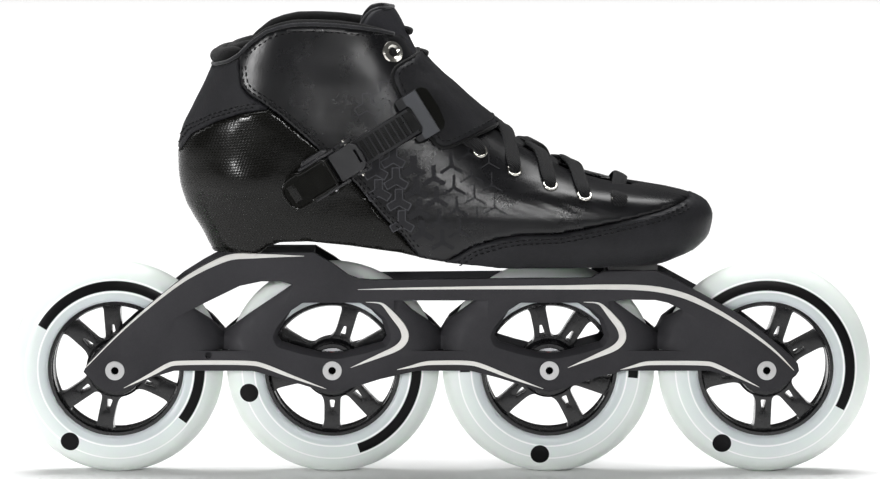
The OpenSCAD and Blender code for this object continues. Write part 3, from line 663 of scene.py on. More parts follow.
def side_s(x, z):
    """s on the outer side where the surface is at x, for each x and z."""
    x, z = np.broadcast_arrays(np.asarray(x, float), np.asarray(z, float))
    out = []
    for xx, zz in zip(x.ravel(), z.ravel()):
        j = min(max((zz - Z0) / DZ, 0), len(ZS) - 1.001)
        f = j - int(j)
        row = GRID[int(j), : NS // 2 + 1, 0] * (1 - f) + GRID[int(j) + 1, : NS // 2 + 1, 0] * f
        out.append(np.interp(-xx, -row, np.arange(NS // 2 + 1) / NS))
    return np.array(out).reshape(x.shape)


def row_s(y, z):
    """s near the front where the half width is y."""
    out = []
    for yy, zz in zip(np.ravel(np.broadcast_to(y, np.shape(z))), np.ravel(z)):
        row = -GRID[int((zz - Z0) / DZ), : NS // 6, 1]
        out.append(np.interp(yy, row, np.arange(NS // 6) / NS))
    return np.array(out)


# flat map of the surface used to cut panels: s * ROUND along, height map up
ROUND = 620.0
VZ = 0.62 * along(GRID[:, 0]) + 0.38 * (ZS - Z0)


def flat(s, z):
    return np.stack([np.asarray(s) * ROUND, np.interp(z, ZS, VZ)], -1)


def unflat(q):
    return q[:, 0] / ROUND, np.interp(q[:, 1], VZ, ZS)


def to_sz(p):
    """(s, z) pairs of (x, z) points on the outer side."""
    return np.stack([side_s(*p.T), p[:, 1]], 1)


def on_side(line):
    return to_sz(resample(line, 1.5))


def mirror(sz, full):
    """The same line on the inner side, backwards; full where it meets its mirror at the back."""
    m = sz[::-1].copy()
    m[:, 0] = (1 - m[:, 0]) if full else -m[:, 0]
    return m


def panel(name, border, mat, off, thick, edge, step, shape, grooves=(), **kw):
    """A leather panel off mm from the boot's surface, inside a closed border of (s, z). Its edges are rounded
    over edge mm, each groove (line, depth, width) is pressed in, and shape(points) adds its own offset."""
    outline = flat(*np.array(border).T)
    outline = outline[np.linalg.norm(outline - np.roll(outline, 1, 0), axis=1) > 0.05]
    lo, hi = outline.min(0), outline.max(0)
    xs = np.arange(lo[0], hi[0], step)
    pts = np.concatenate([np.stack([xs + (step / 2 if k % 2 else 0), np.full(len(xs), y)], 1)
                          for k, y in enumerate(np.arange(lo[1], hi[1], step))])
    pts = pts[inside(outline, pts)]
    after = np.roll(outline, -1, 0)
    rim = np.array([a + (b - a) * t for a, b in zip(outline, after) for t in (0, 1 / 3, 2 / 3)])
    pts = pts[nearest(pts, rim) > step * 0.55]
    v, f = triangulate(outline, extra=pts)
    s, z = unflat(v)
    points = skin(s, z)
    t = np.clip(nearest(points, skin(*unflat(rim))) / (edge * 1.6), 0, 1)
    o = off - edge * (1 - np.sqrt(1 - (1 - t) ** 2))
    for line, depth, width in grooves:
        o -= depth * np.exp(-((nearest(points, resample(line, 0.8)) / width) ** 2))
    o += shape(points)
    verts = skin(s, z, o)
    ob = obj(name, verts, f, mat)
    # face the triangles outwards
    a, b, c = f[len(f) // 2]
    if np.dot(np.cross(verts[b] - verts[a], verts[c] - verts[a]), normal(s, z)[a]) < 0:
        ob.data.flip_normals()
    mod(ob, "SOLIDIFY", thickness=thick * MM, offset=-1)
    return keep(ob, **kw)


def fbm(p, scale, seed):
    """Smooth seeded noise of points in mm, about -1 to 1, in three octaves of four waves."""
    rng = np.random.RandomState(seed)
    out, amp, tot = 0.0, 1.0, 0.0
    for k in range(3):
        for _ in range(4):
            d = unit(rng.normal(size=3)) * TAU / (scale / 2**k) * rng.uniform(0.7, 1.3)
            out = out + amp * np.sin(p @ d + rng.uniform(0, TAU))
        tot += amp * 2.2
        amp *= 0.5
    return out / tot


def surf_path(sz, off, step):
    """A (s, z) line as 3D points and outward directions."""
    sz = resample(np.array(sz) * [600, 1], step) / [600, 1]
    return skin(*sz.T, off), normal(*sz.T)


STITCH, GAP, THREAD = 2.3, 0.9, 0.75


def stitches(name, sz, off):
    """A row of thread stitches along a (s, z) line."""
    p, n = surf_path(sz, off, 0.25)
    d = along(p)
    lift = np.array([-0.35, 0.12, 0.25, 0.12, -0.35])[:, None]
    swell = np.array([0.5, 1, 1, 1, 0.5])[:, None, None]
    parts = []
    at = GAP
    while at + STITCH < d[-1]:
        q = np.linspace(at, at + STITCH, 5)
        up = unit(columns_at(q, d, n))
        parts.append(sweep(columns_at(q, d, p) + up * lift, oval(THREAD, THREAD * 0.8, 6)[None] * swell, up))
        at += STITCH + GAP
    keep(obj(name, *join(parts), "thread"), slot="leather")


# ------------------------------------------------------------------ seam lines of the boot, (x, z) in mm

SOLE = [(-125, 118.5), (-118, 116.2), (-93.5, 116.2), (-88.5, 120.5), (-82, 123), (-67, 123.8), (-46, 122),
        (-21, 118.7), (-10, 116), (2, 113.6), (30, 110.5), (84, 110.5), (111, 110.5), (119, 113.5),
        (128, 117)]
COLLAR = [(-104, 216.5), (-99, 221.2), (-95, 225), (-88, 230), (-81, 232.4), (-74, 233.8), (-63, 234),
          (-52, 233.4), (-41, 232.2), (-31, 230.4), (-24, 228.4)]
CUP = [(-102.5, 217.8), (-101.9, 209), (-101, 203), (-97.6, 199), (-90, 194.3), (-80.7, 187.8),
       (-62.4, 172.2), (-42.4, 153.2), (-30.7, 138.6), (-19.8, 127.6), (-12, 117.2)]
HEEL_EDGE = [(-134.6, 168.5), (-132.8, 169.9), (-126.9, 178.3), (-114.2, 184.8), (-101.6, 188.9),
             (-86.5, 191.6)]
RAND = [(2, 113.9), (8.6, 117.3), (16.4, 122.3), (30.6, 126.6), (41, 128.2), (60, 128.9), (72, 130.9),
        (91.5, 134.8), (110.8, 138.9), (120, 141.8), (127, 144.6)]
EYELETS = [(90, 145.5), (72.6, 147.5), (55.3, 152.4), (37.2, 160.1), (19.7, 169.9)]
THROAT_Y = 12.5


def till_front(sz):
    """Cuts a (s, z) line where it comes to the front."""
    front = sz[:, 0] < 0.0008
    return sz[: np.argmax(front) + 1] if front.any() else sz


def span(sz, x0, x1):
    """The stretch of a (s, z) line between two places along the boot."""
    x = skin(*sz.T)[:, 0]
    return sz[(x >= x0) & (x <= x1)]


sole_sz = till_front(on_side(SOLE))
collar_sz = on_side(COLLAR)
cup_sz = on_side(CUP)
rand_sz = till_front(on_side(RAND))
heel_sz = on_side(HEEL_EDGE)
heel_sz[0, 0] = 0.5
throat_z = np.arange(228.0, 151.4, -1.0)
turn = np.linspace(0.1, math.pi / 2, 8)
end_z = 151.2 - 0.9 * np.sin(turn)
throat_sz = np.concatenate([np.stack([row_s(THROAT_Y, throat_z), throat_z], 1),
                            np.stack([row_s(THROAT_Y * np.cos(turn), end_z), end_z], 1)])
throat_sz[-1, 0] = 0.0
arch_sz = span(sole_sz, -12.2, 2.0)
heel_sole_sz = span(sole_sz, -130, -12.2)
heel_sole_sz[0, 0] = 0.5
collar_front_sz = span(collar_sz, -102.2, 0)
cup_top_sz, cup_low_sz = cup_sz[cup_sz[:, 1] > 192.1], cup_sz[cup_sz[:, 1] <= 192.1]
heel_front_sz = span(heel_sz, -200, -87)
back_collar_sz = on_side([(-118.5, 211.3), (-114, 212.6), (-108, 214.4), (-102.5, 217.6)])
back_collar_sz[0, 0] = 0.5


def hill(p, x, z, long, high):
    """A soft rise at x, z on both sides of the boot, long and high being its reach each way."""
    return np.exp(-(((p[:, 0] - x) / long) ** 2) - (((p[:, 2] - z) / high) ** 2))


def wrinkle(p):
    """Soft hollows and bulges of worn leather, with creases that fan out where the toes bend."""
    x, z = p[:, 0], p[:, 2]
    w = 0.20 * fbm(p, 46, 3) + 0.04 * fbm(p, 17, 5)
    w += 0.07 * hill(p, 62, 140, 24, 9) * np.sin((x * 0.55 + z * 1.35) * 1.1 + 1.2 * fbm(p, 30, 9))
    w -= 0.7 * hill(p, -66, 204, 28, 20)
    w += 0.5 * hill(p, -40, 212, 24, 14)
    return w


def rand_shape(p):
    return 0.25 * fbm(p, 40, 11) + 0.1 * fbm(p, 12, 12)


def shell_shape(p):
    return 1.2 * hill(p, -93, 188, 9, 8) + 0.15 * fbm(p, 30, 21) + 4.0 * hill(p, -101, 153, 19, 11.5)


def heel_shape(p):
    return 0.35 * fbm(p, 42, 31) - 0.7 * hill(p, -112, 200, 9, 9)


def loop(*lines, full=False):
    """A closed border from lines on the outer side and their mirror on the inner side."""
    half = np.concatenate(lines)
    return np.concatenate([half, mirror(half, full)])


panel("upper_panel", loop(rand_sz[::-1], arch_sz[::-1], cup_sz[::-1], collar_front_sz, throat_sz), "upper",
      off=0.5, thick=2.2, edge=0.9, step=1.9, shape=wrinkle, slot="leather",
      replaces=("quarter_outer", "quarter_inner", "vamp"))
rand_fold = on_side([(x, z - 3.4) for x, z in RAND[2:-1]])
panel("toe_rand_panel", loop(rand_sz[::-1], span(sole_sz, 2, 200)), "rand", off=1.0, thick=2.0, edge=1.2,
      step=2.0, shape=rand_shape, grooves=[(skin(*loop(rand_fold).T), 0.45, 1.1)], slot="rand_leather",
      replaces=("toe_rand",))
panel("heel_cup", loop(heel_front_sz, cup_low_sz, heel_sole_sz[::-1], full=True), "shell", off=-0.1,
      thick=2.0, edge=0.5, step=2.2, shape=shell_shape, slot="composite")
panel("heel_leather", loop(back_collar_sz, cup_top_sz, heel_front_sz[::-1], full=True), "heel", off=0.35,
      thick=2.0, edge=0.8, step=2.0, shape=heel_shape, slot="leather_light", replaces=("heel_panel",))

# ------------------------------------------------------------------ sole, insole, collar, lining, tongue

ACROSS = np.linspace(-1, 1, 25)


def foot_sheet(name, edge, z, mat, thick, offset, **kw):
    """A sheet across the boot from one edge to its mirror, with its heights z row by row."""
    rows = np.stack([np.broadcast_to(edge[:, :1], z.shape), -edge[:, 1:2] * ACROSS, z], -1)
    keep(sheet(name, rows, mat, thick, offset), **kw)


sole_edge = skin(*to_sz(resample(SOLE[:-1], 3.0)).T, -0.4)
foot_sheet("sole_underside", sole_edge, sole_edge[:, 2:] + 1.4 * np.abs(ACROSS) ** 6, "shell", 2.2, 0,
           slot="composite", replaces=("shell",))
FOOTBED = [(-124, 136.4), (-60, 136), (-20, 131.4), (20, 123.6), (60, 122), (100, 123.4), (126, 128)]
footbed = resample(FOOTBED, 3.0)
footbed_z = footbed[:, 1:] + 1.8 * ACROSS**4 + 0.3 * np.sin(footbed[:, :1] / 9) * (1 - ACROSS**2)
foot_sheet("insole_pad", skin(*to_sz(footbed).T, -7.0), footbed_z, "insole", 2.6, -1, slot="lining",
           replaces=("insole",))

# padded collar: from the leather's top edge over to the lining
half_rim = np.concatenate([back_collar_sz[1:], collar_front_sz[3:]])
collar_rim = np.concatenate([mirror(half_rim, True)[:-1], [[0.5, 211.3]], half_rim])[::-1]
UP = [0, 0, 1.0]
tube("collar_padding", smooth_path(skin(*collar_rim.T, -2.6), 1.5, 2) + [0, 0, 0.2], oval(5.6, 5.4, 14), UP,
     "lining", "lining")
tube("collar_binding", smooth_path(skin(*collar_rim.T, 0.2), 1.2, 2) + [0, 0, 0.5], oval(1.6, 1.9, 10), UP,
     "binding", "lining")


def lining_sheet():
    """Soft lining inside the ankle, from the padded collar down to the insole."""
    s = np.linspace(0.16, 0.84, 150)
    outer = collar_rim[collar_rim[:, 0] <= 0.5]
    order = np.argsort(outer[:, 0])
    top = np.interp(np.where(s < 0.5, s, 1 - s), *outer[order].T)
    t = np.linspace(0, 1, 46)[:, None]
    z = (top - 0.5) * (1 - t) + 133.5 * t
    s = np.broadcast_to(s, z.shape)
    soft = 0.5 * fbm(skin(s, z).reshape(-1, 3), 30, 41).reshape(z.shape)
    off = -4.2 - 3.6 * np.clip(t * 6, 0, 1) ** 0.6 + soft + 1.2 * np.clip((t - 0.6) / 0.4, 0, 1)
    o = sheet("ankle_lining_sheet", skin(s, z, off), "lining", 1.4, 0)
    keep(o, slot="lining", replaces=("ankle_lining",))


def heel_roll_lobes():
    """Two padded rolls round the back of the collar, one above the other."""
    parts = []
    for z0, off0, r, half, rise in ((217.0, -1.6, 5.0, 0.105, 3.2), (222.5, -7.0, 3.9, 0.115, 2.6)):
        q = np.linspace(0.5 - half, 0.5 + half, 40)
        e = ((q - 0.5) / half) ** 2
        p = skin(q, z0 + rise * e + 1.5 * e * e, off0 - 2.5 * e)
        w = (1 - e**4)[:, None, None] * 0.85 + 0.15
        fat = 1 + 0.05 * np.sin(np.linspace(0, 19, 40))[:, None, None]
        parts.append(sweep(p, oval(2 * r, 1.72 * r, 16)[None] * w * fat, UP))
    o = tidy(obj("heel_roll_lobes", *join(parts), "lining"))
    mod(o, "SUBSURF", levels=1, render_levels=1)
    keep(o, slot="lining", replaces=("heel_roll",))


def tongue_pad():
    """Padded tongue: follows the boot's front under the laces and curves round the shin above the collar."""
    zs = np.concatenate([np.linspace(149.6, 158, 10), np.linspace(160, 241.2, 64)])
    width = Table([(149, 18), (165, 24), (200, 27), (222, 34), (241.5, 34)])(zs)
    front = Table([(200, 4), (207, 0.2), (213.7, -5.6), (218.8, -11.9), (228.6, -17.2), (239.9, -23.2),
                   (242, -25)])(zs)
    rear = Table([(200, -22), (214, -34), (231, -41), (236, -38.6), (239, -35.8), (240.6, -33.4),
                  (241.2, -30)])(zs)
    middle = Table([(200, -24), (214, -36), (231, -43), (242, -50)])(zs)
    k = np.linspace(-1, 1, 49)
    per = np.array([np.linalg.norm(np.diff(GRID[int((z - Z0) / DZ)], axis=0), axis=1).sum() for z in zs])
    rows = []
    for z, w, c, xf, xr, xm in zip(zs, width, per, front, rear, middle):
        e = np.clip((1 - np.abs(k)) * w / 3.0, 0, 1)
        drop = 2.2 * (1 - np.sqrt(1 - (1 - e) ** 2))
        low = skin(-k * w / c, z, -4.2 - drop)
        reach = math.acos(np.clip((xr - xm) / (xf - xm), -1, 1))
        a = -k * reach
        high = np.stack([xm + (xf - xm - drop) * np.cos(a), -(27.5 - drop) * np.sin(a), np.full(49, z)], -1)
        t = np.clip((z - 199) / 13, 0, 1)
        t = t * t * (3 - 2 * t)
        rows.append(low * (1 - t) + high * t)
    v = np.array(rows)
    soft = 0.3 * fbm(v.reshape(-1, 3), 24, 51).reshape(v.shape[:2])
    v = v + soft[..., None] * unit(v - np.array([-60, 0, 180]))
    o = sheet("tongue_pad", v, "tongue", 4.0, -1)
    if o.data.polygons[len(o.data.polygons) // 2].normal.x < 0:
        o.data.flip_normals()
    bevel(o, 0.9, 50)
    keep(o, slot="tongue", replaces=("tongue",))
    start = int(np.searchsorted(zs, 212))
    edge = smooth_path(np.concatenate([v[start:, 0], v[-1, 1:-1], v[start:, -1][::-1]]), 1.5, 2)
    ups = unit(edge - np.array([-60, 0, 190]))
    tube("tongue_piping", edge + ups * 0.2, oval(1.7, 1.7, 8), ups, "binding", "tongue")
    loops = []
    for x, z in ((-18.6, 229.0), (-10.6, 217.5)):
        a = np.radians(np.arange(0, 360, 12))
        ring = np.stack([x + 1.4 + 2.2 * np.cos(a), 5.5 * np.sin(a), z - 0.66 * np.cos(a)], -1)
        loops.append(sweep(ring, oval(1.6, 3.4, 8), unit([0.4, 0, 1.0]), closed=True))
    keep(tidy(obj("tongue_lace_loops", *join(loops), "lace")), slot="tongue")


lining_sheet()
heel_roll_lobes()
tongue_pad()

# ------------------------------------------------------------------ seams, pattern, strap and laces


def shifted(line, d):
    """A (x, z) line moved sideways by d, to its left when positive."""
    p = resample(line, 1.0)
    t = unit(np.gradient(p, axis=0))
    for _ in range(4):
        t[1:-1] = unit(t[:-2] + t[1:-1] * 2 + t[2:])
    return p + d * np.stack([-t[:, 1], t[:, 0]], 1)


def seam_rows(name, line, dists, off, trim):
    """Stitches beside a seam line on both sides of the boot, one row for each distance from it."""
    for k, d in enumerate(dists):
        sz = till_front(to_sz(shifted(line, d)[trim[0]: -trim[1]]))
        sz = sz[sz[:, 0] < 0.4995]
        for side, sgn in SIDES:
            stitches(f"{name}_{k + 1}_{side}", sz * [sgn, 1], off)


seam_rows("cup_seam", CUP, (1.9, 3.7), 0.55, trim=(4, 3))
seam_rows("rand_seam", RAND, (-2.4, -4.4), 1.05, trim=(5, 2))
seam_rows("heel_seam", HEEL_EDGE, (2.2, 3.9), 0.45, trim=(3, 6))
seam_rows("collar_seam", COLLAR, (-3.2,), 0.45, trim=(3, 5))

CUFF = [(-14.5, 216.6), (-17, 215.4), (-20.5, 213.9), (-23.6, 212), (-25.2, 209), (-24.8, 206), (-22, 199),
        (-14, 188), (-6.2, 178), (-3, 173.6), (0.2, 171.9), (4, 172.0), (12.8, 175.3), (20, 178), (27, 179.6)]


def cuff_shape(p):
    return 0.3 * fbm(p, 30, 61) + 0.5 * np.exp(-(((p[:, 2] - 196) / 14) ** 2))


def instep_cuff():
    """The leather strap across the instep, with its seam and its bound edge."""
    line = smooth_path(CUFF, 1.2, 2)
    border = np.concatenate([[[0, 217.4], [0.02, 217.2]], to_sz(line), [[0.0, 179.8]]])
    panel("instep_cuff", loop(border), "cuff", off=4.1, thick=3.3, edge=1.5, step=1.7, shape=cuff_shape,
          slot="strap_leather", replaces=("instep_strap",))
    seam = to_sz(shifted(line, 2.7))[3:-1]
    for side, sgn in SIDES:
        stitches(f"cuff_seam_{side}", seam * [sgn, 1], 4.25)
    (p, n), (inner_p, inner_n) = (surf_path(border * [sgn, 1], 2.3, 1.2) for _, sgn in SIDES)
    tube("cuff_binding", np.concatenate([p, inner_p[::-1]])[1:-1], oval(1.8, 3.0, 8),
         np.concatenate([n, inner_n[::-1]])[1:-1], "lining", "strap_leather")


instep_cuff()


def on_upper(x, z):
    """Point just above the upper panel on the outer side."""
    s = side_s(x, z)
    return skin(s, z, 0.66 + wrinkle(skin(s, z)))


def ray(degrees):
    """A unit vector at an angle, and the one square to it."""
    c, s = math.cos(math.radians(degrees)), math.sin(math.radians(degrees))
    return np.array([c, s]), np.array([-s, c])


def star(c, arm, w):
    """Outline of a three-armed star at c, its arms arm long and each w to a side."""
    rays = [ray(a) for a in (91, 211, 331)]
    out = []
    for k, (u, n) in enumerate(rays):
        out += [c + u * arm - n * w, c + u * arm + n * w]
        out.append(c - rays[(k + 2) % 3][0] * w / math.sin(math.radians(60)))
    return np.array(out)


def pressed_pattern():
    """Rows of pressed stars that thin out towards the toe; behind, each is an outline round its filling."""
    region = [(-37, 177), (-24, 173), (-10, 168), (2, 167), (14, 172), (27, 166), (36, 152), (33, 141),
              (24, 131), (8, 121), (-12, 124), (-22, 133), (-30, 143), (-40, 156)]
    above = [(-42, 204), (-28, 203), (-22, 190), (-20, 178), (-34, 181), (-44, 190)]
    centre, along_row, next_row = np.array([[6.6, 152.2], [10.25, -4.9], [1.5, -10.8]])
    arm, line_width = 6.5, 0.6
    fills, lines = [], []
    for i, j in np.ndindex(12, 13):
        c = centre + (i - 7) * along_row + (j - 6) * next_row
        low, high = inside(region, c[None])[0], inside(above, c[None])[0]
        if not (low or high):
            continue
        w = float(np.interp(c[0], [-34, -20, -6, 7, 17, 30], [2.3, 2.1, 1.35, 0.75, 0.42, 0.28]))
        edge = star(c, arm, w)
        holes = [star(c, arm - line_width, w - 0.55)] if c[0] < -17 or high else []
        rims = [resample_loop(e, 0.9) for e in [edge, *holes]]
        lo, hi = edge.min(0), edge.max(0)
        gx, gz = np.meshgrid(np.arange(lo[0], hi[0], 1.1), np.arange(lo[1], hi[1], 1.1))
        grid = np.stack([gx.ravel(), gz.ravel()], 1)
        grid = grid[inside(edge, grid)]
        g = grid[nearest(grid, np.concatenate(rims)) > 0.5]
        if holes:
            g = g[~inside(holes[0], g)]
        v, f = triangulate(rims[0], rims[1:], g)
        (lines if holes else fills).append((on_upper(*v.T), f))
        if holes and low:
            v, f = triangulate(rims[1], [], grid[inside(holes[0], grid)])
            fills.append((on_upper(*v.T), f))
    for tag, part, mat in (("", fills, "pattern"), ("lines_", lines, "pattern_line")):
        for side, sgn in SIDES:
            v, f = join(part)
            o = obj(f"pressed_pattern_{tag}{side}", v * [1, sgn, 1], f, mat)
            with editing(o) as bm:
                bm.normal_update()
                bmesh.ops.reverse_faces(bm, faces=[q for q in bm.faces if q.normal.y * sgn > 0])
            keep(o, slot="leather")


pressed_pattern()


def eyelet_rings():
    """Rolled nickel eyelets: a soft ring round each lace hole and a short sleeve inside it."""
    parts = []
    a = np.arange(40)[:, None] * TAU / 40
    for x, z in EYELETS:
        for _, sgn in SIDES:
            s = float(side_s(x, z)) * sgn
            c, n = skin(s, z, 0.55), normal(s, z)
            t = unit(np.cross(n, [0.3, 0, 1]))
            circle = np.cos(a) * t + np.sin(a) * np.cross(n, t)
            parts.append(sweep(c + 3.15 * circle + n * 0.25, oval(1.5, 1.5, 10), n, closed=True))
            parts.append(sweep(c + 2.5 * circle - n * 2.0, oval(0.5, 5.0, 8), n, closed=True))
    keep(tidy(obj("lace_eyelet_rings", *join(parts), "chrome")), slot="chrome", replaces=("lace_eyelets",))


eyelet_rings()


def ridge_z(x):
    """Height of the boot's top line at x."""
    return float(np.interp(-x, -GRID[80:, 0, 0], ZS[80:]))


def half_width(x, z):
    half = GRID[int(round((z - Z0) / DZ)), : NS // 2 + 1]
    return np.interp(-x, -half[:, 0], -half[:, 1])


def on_front(x, y, off):
    """Point on the boot's top at x and y, moved out by off."""
    heights = np.arange(ridge_z(x) - 24, ridge_z(x) + 0.01, 0.5)
    best = next((z for z in heights if half_width(x, z) <= abs(y)), heights[0])
    return skin(float(side_s(x, best)) * (1 if y < 0 else -1), best, off)


def laces():
    """The woven lace: a bar across the toe end, three crossed rows and one that goes under the cuff."""
    parts = []

    def strand(points):
        """Adds a flat lace through points given as place, up direction and width."""
        q = smooth_path([[*p, *up, w] for p, up, w in points], 0.8, 2)
        w = q[:, 6] * (1.12 + 0.04 * np.sin(np.arange(len(q)) * 1.9))
        size = np.stack([w, np.full(len(q), 2.7)], 1)[:, None]
        parts.append(sweep(q[:, :3], oval(1.0, 1.0, 14, 0.75)[None] * size, unit(q[:, 3:6])))

    def at(x, z, off, w):
        s = float(side_s(x, z)) * sgn
        return skin(s, z, off), normal(s, z), w

    def ridge(x, lift, y=0.0):
        return (x, y, ridge_z(x) + lift - 0.012 * y * y), (0.45, 0.1 * y / 12, 0.9), 7.0

    def slope(x, y, off, lean, w):
        return on_front(x, y * sgn, off), (0.4, lean * sgn, 0.8), w

    for _, sgn in SIDES:
        x, z = EYELETS[0]
        strand([at(x + 0.6, z - 2.6, -1.0, 5.6), at(x + 0.5, z - 1.8, 1.6, 6.8), at(x, z + 1.2, 2.4, 7.4),
                ridge(x - 0.5, 1.6, -24 * sgn), ridge(x + 1.5, 2.6, -12 * sgn), ridge(x + 2.5, 3.0)])
        for i in (1, 2, 3):
            x, z = EYELETS[i]
            nx = EYELETS[i + 1][0]
            hi = 1.7 if (sgn > 0) == (i % 2 == 1) else 0.0
            mx = (x + nx) / 2 + 1.0
            strand([at(x, z, -2.0, 3.6), at(x + 0.4, z - 0.4, 1.7, 4.8), at(x - 1.2, z + 2.6, 2.7, 6.8),
                    slope(x - 4.5, -15, 3.0, -0.5, 7.0), ridge(mx, 2.4 + hi, -5 * sgn),
                    ridge(mx - 1.5, 2.2 + hi), slope(nx + 3.0, 11, 0.8, 0.4, 6.4),
                    slope(nx + 1.0, 17, -2.6, 0.5, 5.0)])
        x, z = EYELETS[4]
        strand([at(x, z, -2.0, 3.6), at(x + 0.4, z - 0.6, 1.6, 4.6), at(x - 1.5, z + 2.2, 1.9, 6.2),
                at(x - 6, z + 5.0, 1.5, 6.4), at(x - 11, z + 8.5, 1.3, 6.0)])
    keep(tidy(obj("laces_woven", *join(parts), "lace")), slot="lace", replaces=("laces",))


laces()

# ------------------------------------------------------------------ frame

WINDOW = [(-15, 35), (-21, 31), (-27, 21), (-28, 18), (-26, 15), (-17, 12.3), (-6, 9.5), (0, 9), (6, 9.6),
          (16, 12.2), (26, 15), (28, 18), (25.5, 26), (20, 31.5), (14.5, 35)]
CHAMFER = [(-15, 35.3), (-21.6, 31.4), (-29, 22), (-31.2, 17.4), (-28.6, 12), (-17.6, 8.7), (-6, 6.2),
           (0, 5.5), (6, 6.2), (17, 8.6), (28.2, 12), (31.2, 17.2), (28, 27), (21, 32.6), (14.7, 35.3)]


def cad_copy(node, name):
    """A copy of a CAD node with its doubled points and flat edges cleaned away."""
    o = bpy.data.objects.new(name, frame["nodes"][node].data.copy())
    bpy.context.scene.collection.objects.link(o)
    with editing(o) as bm:
        bmesh.ops.remove_doubles(bm, verts=bm.verts, dist=1e-6)
        bmesh.ops.dissolve_degenerate(bm, edges=bm.edges, dist=1e-6)
        bmesh.ops.dissolve_limit(bm, angle_limit=math.radians(0.4), verts=bm.verts, edges=bm.edges)
    return o


def loft(a, b, ya, yb):
    """Verts and faces of a solid between outline a at ya and outline b at yb."""
    n = len(a)
    v = [(x, ya, z) for x, z in a] + [(x, yb, z) for x, z in b]
    return v, grid_faces(2, n, round_cols=True) + [tuple(range(n))[::-1], tuple(range(n, 2 * n))]


def build_frame():
    """The CAD frame with a chamfer cut round each inner window and every edge rounded."""
    o = cad_copy("frame", "frame_milled")
    for x in AXLES[1:3]:
        for side in (-1, 1):
            face = rounded([(x + p[0], AXLE_Z + p[1]) for p in CHAMFER], 4, 5)
            # a little inside the window's own edge, so that no face is left over in it
            throat = rounded([(x + p[0] * 0.99, 76 + (p[1] - 21) * 0.99) for p in WINDOW], 3, 5)
            tool = tidy(obj("tool", *loft(face, throat, side * 17.3, side * 14.1), None, smooth=False))
            mod(o, "BOOLEAN", operation="DIFFERENCE", object=tool, solver="EXACT")
            bake(o)
            bpy.data.objects.remove(tool)
    paint(o, MATS["frame"])
    o.data.shade_smooth()
    bevel(o, 0.45, 32, 2, use_clamp_overlap=True, miter_outer="MITER_ARC")
    mod(o, "TRIANGULATE")
    bake(o)
    sharpen(o, 36)
    keep(o, slot="anodised_aluminium", replaces=("frame",))


build_frame()


def stripe(name, line, side):
    """A bright milled line on the wall, its (x, z, width) given from tip to tip."""
    wall, proud, steps = 17.0, 0.14, 60
    q = smooth_path(line, 1.2, 2)
    d = unit(np.gradient(q[:, :2], axis=0))
    half = np.stack([-d[:, 1], d[:, 0]], 1) * q[:, 2:] / 2
    top, low = (resample(e, 1e-3 + along(e)[-1] / steps) for e in (q[:, :2] + half, q[:, :2] - half))
    k = min(len(top), len(low))
    top, low = top[:k], low[:k]
    mid = (top + low) / 2
    rows = ((low, -0.2), (mid * 0.1 + low * 0.9, proud), (mid * 0.1 + top * 0.9, proud), (top, -0.2))
    v = np.concatenate([np.stack([r[:, 0], np.full(k, side * (wall + h)), r[:, 1]], 1) for r, h in rows])
    keep(tidy(obj(name, v, grid_faces(4, k), "bright", smooth=False)), slot="anodised_aluminium")


REAR = [(-182.6, 56.6, 0.4), (-164.8, 74.9, 0.9), (-149, 88.8, 1.3), (-133.7, 101, 1.9), (-123.2, 107.3, 2.6),
        (-112.5, 112.4, 3.3), (-106.5, 114.3, 3.3), (-97.7, 114.4, 2.9), (-84, 114.5, 1.6), (-70, 114.4, 0.3)]
TOP = [(-42.5, 97.1, 0.2), (-20.4, 97.6, 1.2), (27, 98.1, 1.8), (70, 98.2, 2.5), (83, 98.5, 2.9),
       (106.3, 98.1, 3.1), (120, 95.6, 3.1), (130.4, 91.9, 3.1), (144.3, 84.6, 2.2), (157.9, 75.9, 1.8),
       (171.8, 65.4, 1.3), (181.4, 55.2, 0.3)]
LOWER = [(-162.9, 46.1, 0.2), (-149.6, 52.6, 1.9), (-140.4, 58, 2.5), (-136, 59.3, 2.5), (-98, 59.3, 2.5),
         (-91.4, 58, 2.5), (-77.1, 52.1, 1.9), (-59, 45.6, 0.2)]
LOWER_MID = [(-134.1, 55.6, 0.2), (-127.1, 57, 1.4), (-121, 58.7, 2.2), (-116.2, 59.2, 2.4), *LOWER[4:]]
LOWER_FRONT = [(-131.1, 55.5, 0.2), (-125.1, 57, 1.4), (-119.6, 58.6, 2.2), (-115.2, 59.1, 2.4),
               (-86.9, 59, 2.5), (-82.5, 57.9, 2.5), (-73.8, 53.7, 2), (-59.6, 46.4, 0.2)]
CEE = [(-38.4, 90.6, 0.2), (-30.9, 90.3, 0.9), (-28.3, 88.2, 1.9), (-24.2, 83.3, 3.3), (-19.4, 77.6, 3.9),
       (-18, 72.8, 4), (-19.3, 69.4, 3.8), (-22.8, 66.4, 3.2), (-31, 63, 2.4), (-46.3, 56.6, 0.2)]


def stripes():
    """Every stripe on both walls; the low ones and the window ones are moved on by whole axle pitches."""
    lines = [("rear", REAR, 0), ("top", TOP, 0)]
    lines += [(f"low_{k + 1}", line, k) for k, line in enumerate((LOWER, LOWER_MID, LOWER_FRONT))]
    lines += [(f"window_{k + 1}", CEE, k) for k in range(2)]
    for tag, sgn in SIDES:
        for name, line, k in lines:
            stripe(f"stripe_{name}_{tag}", [(x + k * PITCH, z, w) for x, z, w in line], -sgn)


stripes()

# ------------------------------------------------------------------ wheels

# for each wheel, in degrees: how far its hub is turned, where its print ends and where its dot is
TURNS = ((116, -38, 237.6), (51, -72, 196), (79, -6, 264), (50, -28, 240))


